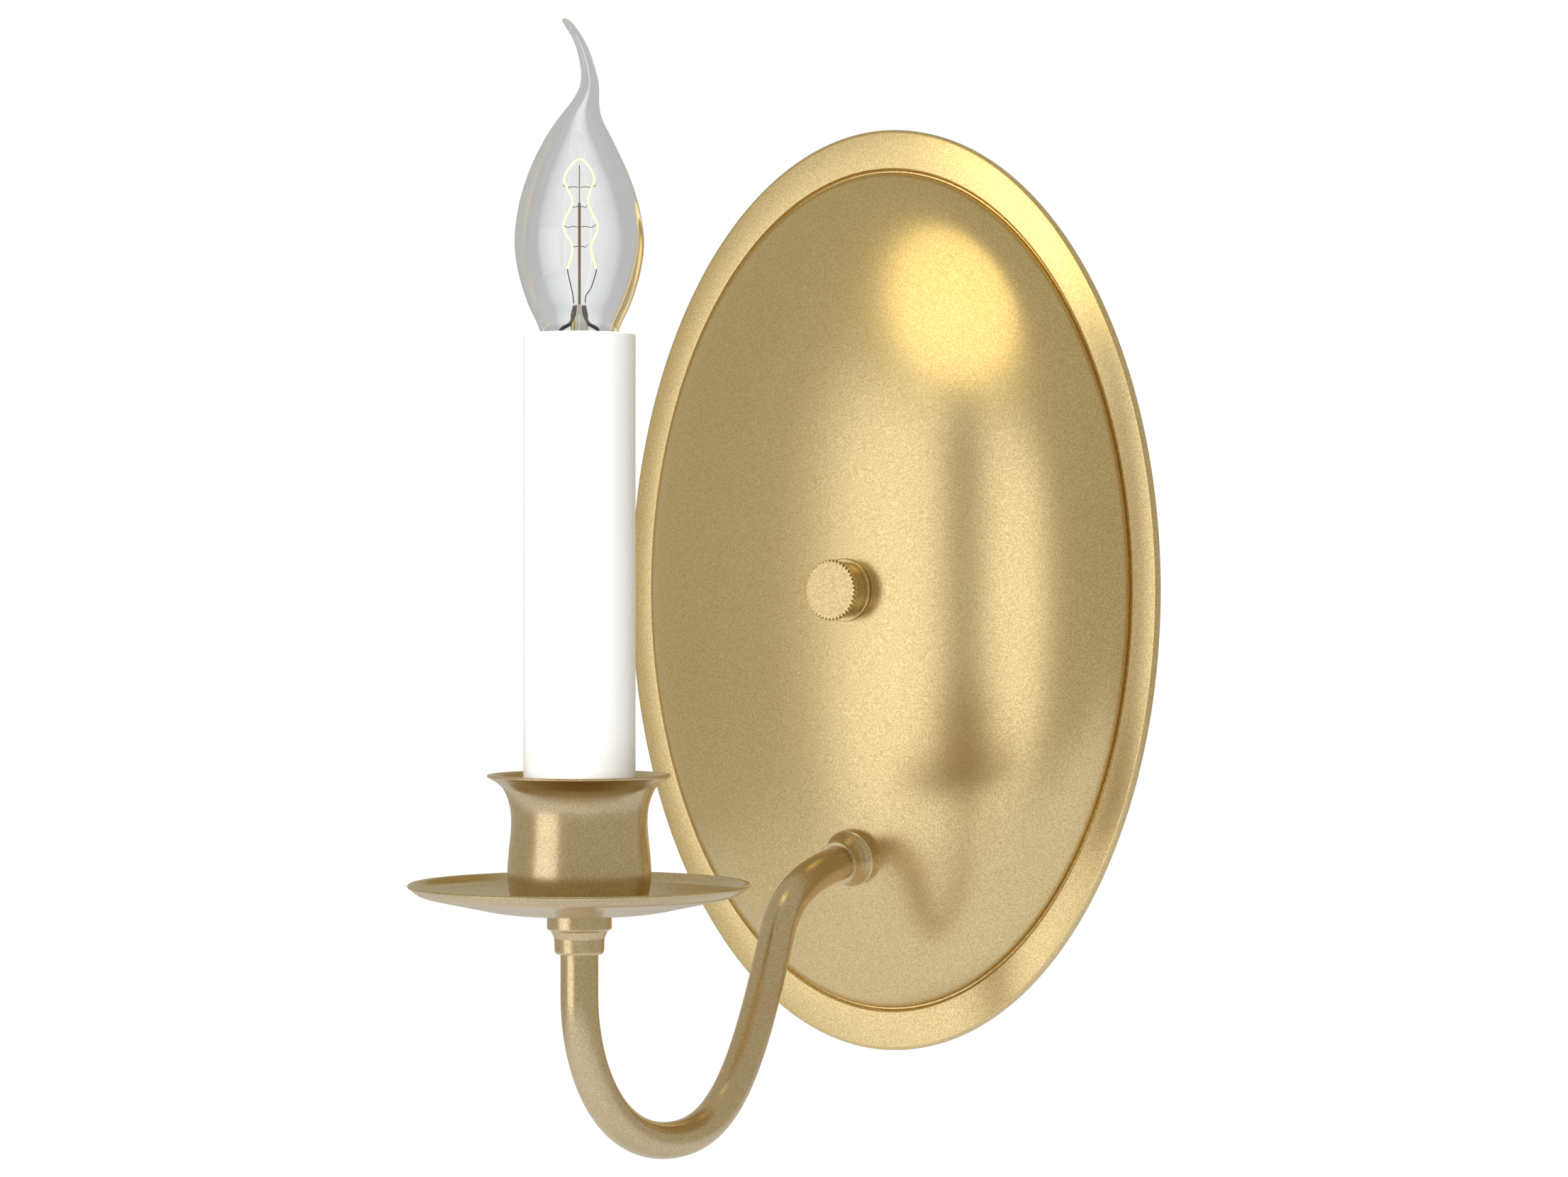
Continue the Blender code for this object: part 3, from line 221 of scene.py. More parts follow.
def with_modifier(mesh: Mesh, kind: str, **settings: object) -> Mesh:
    """Apply one modifier to a mesh.

    Args:
        mesh: the mesh.
        kind: the modifier's type.
        settings: its properties.

    Returns:
        The changed mesh.
    """
    holder = link_new("holder", mesh)
    modifier = holder.modifiers.new("change", kind)
    for name, value in settings.items():
        setattr(modifier, name, value)
    return take_mesh(holder)


# ================================================================== shape trees
def ridge_tree() -> NodeTree:
    """Build the tree that presses ridges into a turned mesh: threads, knurls and ribs.

    Returns:
        The tree. Starts is the count of ridges round the axis, Turns the count along each metre.
    """
    names = ("Starts", "Turns", "Crispness", "Depth", "Low", "High", "Fade", "Inner")
    tree, given = shape_tree("pressed_ridges", {n: "Float" for n in names})
    place = add_node(tree, "GeometryNodeInputPosition")
    xyz = add_node(tree, "ShaderNodeSeparateXYZ", {0: place.outputs[0]})
    x, y, z = xyz.outputs

    def maths(operation: str, *values: object) -> NodeSocket:
        """Combine values with one operation."""
        return add_node(tree, "ShaderNodeMath", dict(enumerate(values)), {"operation": operation}).outputs[0]

    turn = maths("DIVIDE", maths("ARCTAN2", y, x), 2 * pi)
    phase = maths("ADD", maths("MULTIPLY", turn, given.outputs["Starts"]),
                  maths("MULTIPLY", z, given.outputs["Turns"]))
    swing = maths("MULTIPLY", maths("SUBTRACT", maths("PINGPONG", phase, 0.5), 0.25), given.outputs["Crispness"])
    wave = add_node(tree, "ShaderNodeClamp", {0: maths("ADD", maths("MULTIPLY", swing, 2.0), 0.5)}).outputs[0]
    radius = maths("SQRT", maths("ADD", maths("MULTIPLY", x, x), maths("MULTIPLY", y, y)))
    fades = []
    for edge, sign in (("Low", 1), ("High", -1)):
        inward = maths("MULTIPLY", maths("SUBTRACT", z, given.outputs[edge]), sign)
        fades.append(add_node(tree, "ShaderNodeClamp", {0: maths("DIVIDE", inward, given.outputs["Fade"])}).outputs[0])
    amount = maths("MULTIPLY", maths("MULTIPLY", fades[0], fades[1]), wave)
    inward = maths("DIVIDE", maths("MULTIPLY", amount, given.outputs["Depth"]), maths("MULTIPLY", radius, -1.0))
    shift = add_node(tree, "ShaderNodeCombineXYZ", {0: maths("MULTIPLY", x, inward), 1: maths("MULTIPLY", y, inward)})
    chosen = maths("GREATER_THAN", radius, given.outputs["Inner"])
    moved = add_node(tree, "GeometryNodeSetPosition",
                     {"Geometry": given.outputs[0], "Selection": chosen, "Offset": shift.outputs[0]})
    close_tree(tree, given, moved.outputs[0])
    return tree


def sweep_tree() -> NodeTree:
    """Build the tree that draws a round section along a line of edges.

    Returns:
        The tree.
    """
    tree, given = shape_tree("swept_round", {"Radius": "Float", "Sides": "Int", "Caps": "Bool"})
    path = add_node(tree, "GeometryNodeMeshToCurve", {0: given.outputs[0]})
    section = add_node(tree, "GeometryNodeCurvePrimitiveCircle",
                       {"Resolution": given.outputs["Sides"], "Radius": given.outputs["Radius"]})
    tube = add_node(tree, "GeometryNodeCurveToMesh",
                    {"Curve": path.outputs[0], "Profile Curve": section.outputs[0], "Fill Caps": given.outputs["Caps"]})
    close_tree(tree, given, tube.outputs[0])
    return tree


def hanger_tree() -> NodeTree:
    """Build the tree that sets pairs of bent support wires along a post.

    Returns:
        The tree. The one wire that goes in is repeated at each level on both sides, and each
        second level is shorter.
    """
    tree, given = shape_tree("support_wires", {"Levels": "Int", "First": "Float", "Step": "Float",
                                               "Short": "Float", "Bearing": "Float"})
    start = add_node(tree, "ShaderNodeCombineXYZ", {2: given.outputs["First"]})
    step = add_node(tree, "ShaderNodeCombineXYZ", {2: given.outputs["Step"]})
    levels = add_node(tree, "GeometryNodeMeshLine",
                      {"Count": given.outputs["Levels"], "Start Location": start.outputs[0], "Offset": step.outputs[0]})
    index = add_node(tree, "GeometryNodeInputIndex")
    odd = add_node(tree, "ShaderNodeMath", {0: index.outputs[0], 1: 2.0}, {"operation": "MODULO"})
    reach = add_node(tree, "ShaderNodeMapRange",
                     {"Value": odd.outputs[0], "To Min": given.outputs["Short"], "To Max": 1.0})
    scale = add_node(tree, "ShaderNodeCombineXYZ", {0: reach.outputs[0], 1: 1.0, 2: 1.0})
    joined = add_node(tree, "GeometryNodeJoinGeometry")
    for half_turn in (0.0, pi):
        bearing = add_node(tree, "ShaderNodeMath", {0: given.outputs["Bearing"], 1: half_turn}, {"operation": "ADD"})
        turn = add_node(tree, "ShaderNodeCombineXYZ", {2: bearing.outputs[0]})
        wires = add_node(tree, "GeometryNodeInstanceOnPoints",
                         {"Points": levels.outputs[0], "Instance": given.outputs[0], "Rotation": turn.outputs[0],
                          "Scale": scale.outputs[0]})
        tree.links.new(wires.outputs[0], joined.inputs[0])
    close_tree(tree, given, joined.outputs[0])
    return tree


# ================================================================== finishes
@dataclass(frozen=True)
class GrainedFinish:
    """An opaque surface with a fine grain, a slow drift of tone and a light relief."""

    name: str
    slot: str
    base: str
    shade: str
    metallic: float
    roughness: float
    grain: float                        # size of the grain
    speckle: float                      # how far the grain's dark points go towards the shade
    relief: float                       # depth of the grain
    drift: float = 40 * MM              # size of the slow patches of tone
    drift_share: float = 0.35
    swing: float = 0.05                 # how far the grain moves the roughness
    stretch: Point = (1.0, 1.0, 1.0)
    coat: float = 0.0

    @cache
    def material(self) -> Material:
        """Make the material, once.

        Returns:
            The material.
        """
        mat, tree, shader = new_material(self.name)
        shader.inputs["Metallic"].default_value = self.metallic
        if self.coat:
            shader.inputs["Coat Weight"].default_value = self.coat
            shader.inputs["Coat Roughness"].default_value = 0.12
        where = add_node(tree, "ShaderNodeTexCoord")
        mapped = add_node(tree, "ShaderNodeMapping", {"Vector": where.outputs["Object"], "Scale": self.stretch})
        grain = add_node(tree, "ShaderNodeTexNoise",
                         {"Vector": mapped.outputs[0], "Scale": 1 / self.grain, "Detail": 1.0, "Roughness": 0.7})
        slow = add_node(tree, "ShaderNodeTexNoise",
                        {"Vector": where.outputs["Object"], "Scale": 1 / self.drift, "Detail": 3.0})
        points = add_node(tree, "ShaderNodeMapRange",
                          {"Value": grain.outputs["Fac"], "From Min": 0.35, "From Max": 0.65, "To Max": self.speckle})
        patches = add_node(tree, "ShaderNodeMapRange",
                           {"Value": slow.outputs["Fac"], "From Min": 0.35, "From Max": 0.65,
                            "To Max": self.drift_share})
        both = add_node(tree, "ShaderNodeMath", {0: points.outputs[0], 1: patches.outputs[0]},
                        {"operation": "ADD", "use_clamp": True})
        tone = add_node(tree, "ShaderNodeMix", {0: both.outputs[0], 6: linear(self.base), 7: linear(self.shade)},
                        {"data_type": "RGBA"})
        gloss = add_node(tree, "ShaderNodeMapRange",
                         {"Value": grain.outputs["Fac"], "From Min": 0.3, "From Max": 0.7,
                          "To Min": self.roughness - self.swing, "To Max": self.roughness + self.swing})
        relief = add_node(tree, "ShaderNodeBump",
                          {"Height": grain.outputs["Fac"], "Distance": self.relief, "Strength": 1.0})
        tree.links.new(tone.outputs[2], shader.inputs["Base Color"])
        tree.links.new(gloss.outputs[0], shader.inputs["Roughness"])
        tree.links.new(relief.outputs[0], shader.inputs["Normal"])
        return mat


@dataclass(frozen=True)
class ClearFinish:
    """Blown glass: clear, with a slight waviness."""

    name: str
    slot: str
    base: str
    ior: float
    roughness: float = 0.0
    wave: float = 9 * MM
    relief: float = 0.02 * MM

    @cache
    def material(self) -> Material:
        """Make the material, once.

        Returns:
            The material.
        """
        mat, tree, shader = new_material(self.name)
        shader.inputs["Base Color"].default_value = linear(self.base)
        shader.inputs["Roughness"].default_value = self.roughness
        shader.inputs["Transmission Weight"].default_value = 1.0
        shader.inputs["IOR"].default_value = self.ior
        where = add_node(tree, "ShaderNodeTexCoord")
        waves = add_node(tree, "ShaderNodeTexNoise",
                         {"Vector": where.outputs["Object"], "Scale": 1 / self.wave, "Detail": 1.0})
        relief = add_node(tree, "ShaderNodeBump",
                          {"Height": waves.outputs["Fac"], "Distance": self.relief, "Strength": 1.0})
        tree.links.new(relief.outputs[0], shader.inputs["Normal"])
        return mat


@dataclass(frozen=True)
class GlowingFinish:
    """A wire at white heat, a little uneven along its length."""

    name: str
    slot: str
    glow: str
    cooler: str
    power: float
    patch: float = 2 * MM

    @cache
    def material(self) -> Material:
        """Make the material, once.

        Returns:
            The material.
        """
        mat, tree, shader = new_material(self.name)
        where = add_node(tree, "ShaderNodeTexCoord")
        patches = add_node(tree, "ShaderNodeTexNoise", {"Vector": where.outputs["Object"], "Scale": 1 / self.patch})
        tone = add_node(tree, "ShaderNodeMix",
                        {0: patches.outputs["Fac"], 6: linear(self.glow), 7: linear(self.cooler)},
                        {"data_type": "RGBA"})
        tree.links.new(tone.outputs[2], shader.inputs["Emission Color"])
        tree.links.new(tone.outputs[2], shader.inputs["Base Color"])
        shader.inputs["Emission Strength"].default_value = self.power
        shader.inputs["Roughness"].default_value = 0.5
        return mat


Finish = GrainedFinish | ClearFinish | GlowingFinish

# Brass, sanded with fine grit and lacquered: broad soft reflections under a tight even grain.
SATIN_BRASS = GrainedFinish("lacquered_satin_brass", "satin_brass", "#E5D1A2", "#CDB585", 1.0, 0.24,
                            0.36 * MM, 1.0, 0.0004 * MM, drift_share=0.1, swing=0.015)
# The same brass turned and spun, under an older and greyer lacquer.
TURNED_BRASS = GrainedFinish("lacquered_turned_brass", "satin_brass", "#DCCBAA", "#C4AE8A", 1.0, 0.25,
                             0.3 * MM, 1.0, 0.0004 * MM, drift=25 * MM, drift_share=0.15, swing=0.015)
# Zinc plate over turned steel: bluish grey, with faint warm patches from the passivation.
ZINC = GrainedFinish("zinc_plated_steel", "plated_steel", "#C9CCCF", "#B9B49E", 1.0, 0.32,
                     0.4 * MM, 0.25, 0.004 * MM, drift=6 * MM, drift_share=0.6)
# Rolled strip, zinc plated: the rolling leaves long streaks along the bar.
ROLLED_STEEL = GrainedFinish("rolled_steel_strip", "bar_steel", "#B4B6B6", "#96958E", 1.0, 0.4,
                             0.5 * MM, 0.6, 0.01 * MM, drift=15 * MM, stretch=(0.08, 1.0, 1.0))
# Green dyed zinc plate on the earth screw: dark, saturated and half shiny.
GREEN_ZINC = GrainedFinish("green_dyed_zinc", "green_screw", "#2E8A4A", "#1E6B37", 0.7, 0.35,
                           0.4 * MM, 0.4, 0.004 * MM, drift=4 * MM)
# Bare copper, drawn: red brown where it has dulled.
COPPER = GrainedFinish("drawn_copper", "bare_copper", "#DFA27C", "#B5714C", 1.0, 0.3,
                       0.3 * MM, 0.4, 0.003 * MM, drift=8 * MM, drift_share=0.6)
# Extruded white polycarbonate: a clean satin tube with an almost invisible grain.
CANDLE_WHITE = GrainedFinish("extruded_white_polycarbonate", "candle_white", "#F4F3F0", "#ECEAE4", 0.0,
                             0.38, 0.5 * MM, 0.3, 0.003 * MM, drift_share=0.3, swing=0.03)
# Extruded PVC insulation, white and black: soft satin.
WHITE_PVC = GrainedFinish("white_pvc_insulation", "white_wire", "#E6E4DB", "#D5D2C6", 0.0, 0.42,
                          0.4 * MM, 0.4, 0.003 * MM, drift=10 * MM)
BLACK_PVC = GrainedFinish("black_pvc_insulation", "black_wire", "#252525", "#1A1A1A", 0.0, 0.4,
                          0.4 * MM, 0.4, 0.003 * MM, drift=10 * MM)
# Compression moulded phenolic: deep black with a fine powdery grain.
PHENOLIC = GrainedFinish("moulded_phenolic", "socket_black", "#242221", "#181615", 0.0, 0.45,
                         0.35 * MM, 0.6, 0.008 * MM, drift=8 * MM)
# Injection moulded nylon shells of the twist-on connectors: orange, spark textured.
ORANGE_NYLON = GrainedFinish("moulded_orange_nylon", "connector_orange", "#E8772B", "#D2621C", 0.0, 0.5,
                             0.45 * MM, 0.5, 0.015 * MM, drift=12 * MM)
# Rolled brass of the socket's screw shell and contact: bright and thin.
SHELL_BRASS = GrainedFinish("rolled_brass_sheet", "shell_brass", "#E2C27A", "#CBA75C", 1.0, 0.22,
                            0.4 * MM, 0.3, 0.003 * MM, drift=7 * MM)
# Drawn glass rod in the lamp, browned by the heat.
BROWN_ROD = GrainedFinish("browned_glass_rod", "lamp_glass", "#8F6E3E", "#6E5230", 0.2, 0.3,
                          0.5 * MM, 0.5, 0.002 * MM, drift=6 * MM)
# Drawn molybdenum of the fine wires in the lamp: dark grey.
DARK_WIRE = GrainedFinish("drawn_molybdenum", "lamp_metal", "#6F6C66", "#4E4B47", 1.0, 0.35,
                          0.3 * MM, 0.4, 0.001 * MM, drift=3 * MM)
# Nickel plated cap and wires of the lamp: warm silver.
LAMP_NICKEL = GrainedFinish("nickel_plated_cap", "lamp_metal", "#CFCBC0", "#AFA99B", 1.0, 0.28,
                            0.3 * MM, 0.3, 0.003 * MM, drift=5 * MM)
# Blown soda-lime glass of the envelope, and the pressed glass of the stem.
LAMP_GLASS = ClearFinish("blown_soda_lime_glass", "lamp_glass", "#FDFEFE", 1.5)
STEM_GLASS = ClearFinish("pressed_stem_glass", "lamp_glass", "#EDE6DA", 1.54, 0.05, 2 * MM, 0.1 * MM)
# Filament at white heat.
FILAMENT = GlowingFinish("white_hot_filament", "filament", "#FFFFB0", "#FFF88C", 1.3)


# ================================================================== meshes
def skin(rows: Rows, wrap: Wrap) -> Mesh:
    """Stretch faces between rows of points that go round an axis.

    Args:
        rows: rows of equal count, running down the outer side.
        wrap: whether the last row joins the first.

    Returns:
        A mesh whose faces point outwards. A row drawn to one point becomes a pole.
    """
    verts: list[Vector] = []
    index: list[list[int]] = []
    for row in rows:
        if (row[0] - row[len(row) // 2]).length < 1e-8:
            index.append([len(verts)] * len(row))
            verts.append(row[0])
        else:
            index.append(list(range(len(verts), len(verts) + len(row))))
            verts.extend(row)
    pairs = list(zip(index, index[1:]))
    if wrap is Wrap.CLOSED:
        pairs.append((index[-1], index[0]))
    faces = []
    for upper, lower in pairs:
        for j in range(len(upper)):
            k = (j + 1) % len(upper)
            corners = list(dict.fromkeys((upper[j], lower[j], lower[k], upper[k])))
            if len(corners) > 2:
                faces.append(corners)
    mesh = bpy.data.meshes.new("skin")
    mesh.from_pydata(verts, [], faces)
    mesh.update()
    return mesh


@contextmanager
def edited(mesh: Mesh) -> Iterator[bmesh.types.BMesh]:
    """Open a mesh for editing and write it back afterwards.

    Args:
        mesh: the mesh.

    Returns:
        A context that gives the mesh's editable shape.
    """
    shape = bmesh.new()
    shape.from_mesh(mesh)
    yield shape
    shape.to_mesh(mesh)
    shape.free()


def settle(mesh: Mesh, angle: float = 32.0, merge: float = 1e-7) -> Mesh:
    """Merge doubles, turn the faces outwards and shade the mesh smooth up to an angle.

    Args:
        mesh: a closed mesh.
        angle: edges sharper than this, in degrees, stay sharp.
        merge: the merging distance.

    Returns:
        The same mesh.
    """
    with edited(mesh) as shape:
        bmesh.ops.remove_doubles(shape, verts=shape.verts, dist=merge)
        bmesh.ops.recalc_face_normals(shape, faces=shape.faces)
    mesh.shade_smooth()
    mesh.set_sharp_from_angle(angle=radians(angle))
    return mesh


def outline(*corners: Sequence[float], ring: bool = True, arc: int = 4) -> list[Vector]:
    """Draw an outline with rounded corners.

    Args:
        corners: each a radius, a height and, where the corner is rounded, a fillet, in millimetres.
        ring: whether the outline closes on itself.
        arc: spans in each rounded corner.

    Returns:
        The outline's points in metres.
    """
    points = [Vector(c[:2]) for c in corners]
    line: list[Vector] = []
    for i, corner in enumerate(corners):
        ends = not ring and i in (0, len(corners) - 1)
        if len(corner) < 3 or ends:
            line.append(points[i] * MM)
            continue
        before = points[i - 1] - points[i]
        after = points[(i + 1) % len(points)] - points[i]
        reach = corner[2] / tan(before.angle(after) / 2)
        reach = min(reach, before.length * 0.49, after.length * 0.49)
        start = points[i] + before.normalized() * reach
        end = points[i] + after.normalized() * reach
        for step in range(arc + 1):
            t = step / arc
            line.append((start * (1 - t) ** 2 + points[i] * 2 * t * (1 - t) + end * t * t) * MM)
    return line


def dense(line: list[Vector], spacing: float, ring: bool = True) -> list[Vector]:
    """Add points to an outline so that no span is longer than a spacing.

    Args:
        line: the outline.
        spacing: the longest span.
        ring: whether the outline closes on itself.

    Returns:
        The finer outline.
    """
    finer: list[Vector] = []
    ends = line[1:] + line[:1] if ring else line[1:]
    for a, b in zip(line, ends):
        count = max(1, int((b - a).length / spacing + 0.999))
        finer.extend(a.lerp(b, i / count) for i in range(count))
    return finer if ring else finer + [line[-1]]


def smooth_curve(points: Sequence[Sequence[float]], spans: int) -> list[Vector]:
    """Run a Catmull-Rom curve through points.

    Args:
        points: the points to go through.
        spans: spans between two neighbours.

    Returns:
        The curve's points.
    """
    knots = [Vector(p) for p in points]
    padded = [knots[0] * 2 - knots[1]] + knots + [knots[-1] * 2 - knots[-2]]
    line = []
    for i in range(1, len(padded) - 2):
        a, b, c, d = padded[i - 1:i + 3]
        for step in range(spans):
            t = step / spans
            line.append(0.5 * (2 * b + (c - a) * t + (2 * a - 5 * b + 4 * c - d) * t ** 2
                               + (3 * b - a - 3 * c + d) * t ** 3))
    line.append(knots[-1])
    return line


def beside(line: list[Vector], gap: Callable[[Vector], float]) -> list[Vector]:
    """Draw a second line beside a line, as the other face of a sheet.

    Args:
        line: the first line.
        gap: gives the distance to the left at a point, negative to the right.

    Returns:
        The second line, point for point.
    """
    second = []
    for i, p in enumerate(line):
        along = (line[min(i + 1, len(line) - 1)] - line[max(i - 1, 0)]).normalized()
        second.append(p + Vector((-along.y, along.x)) * gap(p))
    return second


def turned(line: list[Vector], steps: int = 96, wrap: Wrap = Wrap.CLOSED) -> Mesh:
    """Turn an outline of radius and height round the Z axis.

    Args:
        line: the outline, running down its outer side.
        steps: steps round the axis.
        wrap: whether the outline closes on itself.

    Returns:
        The turned mesh.
    """
    circle = [(cos(2 * pi * j / steps), sin(2 * pi * j / steps)) for j in range(steps)]
    rows = [[Vector((p.x * c, p.x * s, p.y)) for c, s in circle] for p in line]
    return skin(rows, wrap)


def hex_ring(flats: float, low: float, high: float, bore: float, steps: int = 96) -> Mesh:
    """Make a hex nut whose corners are turned down to a cone.

    Args:
        flats: width across the flats.
        low: height of its lower face.
        high: height of its upper face.
        bore: radius of its hole.
        steps: steps round the axis, a multiple of six.

    Returns:
        The nut's mesh.
    """
    cone = flats / 2 * 0.97
    rows: Rows = [[] for _ in range(6)]
    for j in range(steps):
        angle = 2 * pi * j / steps
        across = flats / 2 / cos((angle + pi / 6) % (pi / 3) - pi / 6)
        fall = (across - cone) * tan(radians(30))
        ring = ((bore, high), (cone, high), (across, high - fall), (across, low + fall), (cone, low), (bore, low))
        for row, (radius, height) in zip(rows, ring):
            row.append(Vector((radius * cos(angle), radius * sin(angle), height)))
    return skin(rows, Wrap.CLOSED)


def line_mesh(points: Sequence[Vector]) -> Mesh:
    """Make a mesh of edges.

    Args:
        points: the line that the edges follow.

    Returns:
        The mesh.
    """
    mesh = bpy.data.meshes.new("line")
    mesh.from_pydata(list(points), [(i, i + 1) for i in range(len(points) - 1)], [])
    return mesh


def stamped(outlines: Sequence[Sequence[tuple[float, float]]], thickness: float, edge: float) -> Mesh:
    """Stamp a flat blank with holes from sheet, with slightly rounded edges.

    Args:
        outlines: the outer outline, then the holes.
        thickness: thickness of the sheet.
        edge: rounding of its edges.

    Returns:
        The blank's mesh, half above and half below the XY plane.
    """
    curve = bpy.data.curves.new("blank", "CURVE")
    curve.dimensions = "2D"
    curve.fill_mode = "BOTH"
    curve.extrude = thickness / 2 - edge
    curve.bevel_depth = edge
    curve.bevel_resolution = 2
    curve.offset = -edge
    for line in outlines:
        spline = curve.splines.new("POLY")
        spline.points.add(len(line) - 1)
        for knot, (x, y) in zip(spline.points, line):
            knot.co = (x, y, 0.0, 1.0)
        spline.use_cyclic_u = True
    return settle(take_mesh(link_new("holder", curve)), merge=1e-6)


def circle_line(x: float, y: float, radius: float, steps: int = 40) -> list[tuple[float, float]]:
    """Give the points of a circle."""
    return [(x + radius * cos(2 * pi * i / steps), y + radius * sin(2 * pi * i / steps)) for i in range(steps)]


def stadium(x: float, y: float, length: float, width: float, steps: int = 16) -> list[tuple[float, float]]:
    """Give the points of a slot with round ends, along X.

    Args:
        x: middle of the slot.
        y: middle of the slot.
        length: its length over the ends.
        width: its width.
        steps: steps round each end.

    Returns:
        The points.
    """
    half = (length - width) / 2
    line = []
    for side, start in ((1, -pi / 2), (-1, pi / 2)):
        line += [(x + side * half + width / 2 * cos(start + pi * i / steps),
                  y + width / 2 * sin(start + pi * i / steps)) for i in range(steps + 1)]
    return line


@dataclass
class Shop:
    """Keeps the shape trees and sets finished pieces into the scene."""

    ridges: NodeTree = field(default_factory=ridge_tree)
    sweep: NodeTree = field(default_factory=sweep_tree)
    hangers: NodeTree = field(default_factory=hanger_tree)

    def add(self, name: str, mesh: Mesh, finish: Finish, *nodes: str, body: Body = Body.FIXTURE,
            at: Matrix | None = None) -> Object:
        """Set a finished piece into the scene.

        Args:
            name: the piece's name.
            mesh: its mesh.
            finish: its finish.
            nodes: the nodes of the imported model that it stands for.
            body: the body that it moves with.
            at: where its mesh goes.

        Returns:
            The piece, at the origin, with its place in its mesh.
        """
        if at is not None:
            mesh.transform(at)
        mesh.name = name
        mesh.materials.clear()
        mesh.materials.append(finish.material())
        obj = link_new(name, mesh)
        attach(obj, body.value)
        if nodes:
            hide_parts(*nodes)
        LOG.info("%s: %d faces on %s", name, len(mesh.polygons), body.value)
        return obj

    def ridged(self, mesh: Mesh, finish: Finish, turns: float, angle: float = 50.0, starts: float = -1.0,
               crispness: float = 1.0, **sizes: float) -> Mesh:
        """Press ridges into a turned mesh.

        Args:
            mesh: the mesh.
            finish: its finish.
            turns: turns of the thread in a metre, none for straight ridges.
            angle: edges sharper than this, in degrees, stay sharp.
            starts: count of ridges round the axis.
            crispness: how square the ridges are.
            sizes: the tree's other sizes, in millimetres.

        Returns:
            The ridged mesh.
        """
        lengths = {name: size * MM for name, size in sizes.items()}
        return settle(run_tree(mesh, self.ridges, Finish=finish.material(), Starts=starts, Turns=turns,
                               Crispness=crispness, **lengths), angle)

    def wire(self, points: Sequence[Vector], radius: float, finish: Finish, sides: int = 16,
             caps: bool = True) -> Mesh:
        """Draw a round wire or tube.

        Args:
            points: the line that it follows.
            radius: its radius.
            finish: its finish.
            sides: sides of its section.
            caps: whether its ends are closed.

        Returns:
            The wire's mesh.
        """
        mesh = run_tree(line_mesh(points), self.sweep, Radius=radius, Sides=sides, Caps=caps,
                        Finish=finish.material())
        return settle(mesh, 60.0) if caps else mesh


@dataclass
class Group:
    """Pieces that share one place, and mostly one body. Their sizes are in millimetres."""

    shop: Shop
    place: Matrix
    body: Body = Body.FIXTURE

    def put(self, name: str, mesh: Mesh, finish: Finish, *nodes: str, body: Body | None = None) -> Object:
        """Set a piece into the scene at the group's place."""
        return self.shop.add(name, mesh, finish, *nodes, body=body or self.body, at=self.place)


def dress(finish: Finish, *nodes: str) -> None:
    """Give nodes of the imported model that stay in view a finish.

    Args:
        finish: the finish.
        nodes: the nodes' names.
    """
    for node in nodes:
        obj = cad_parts[node]
        obj.data.materials.clear()
        obj.data.materials.append(finish.material())
        LOG.info("%s keeps its packed shape", node)


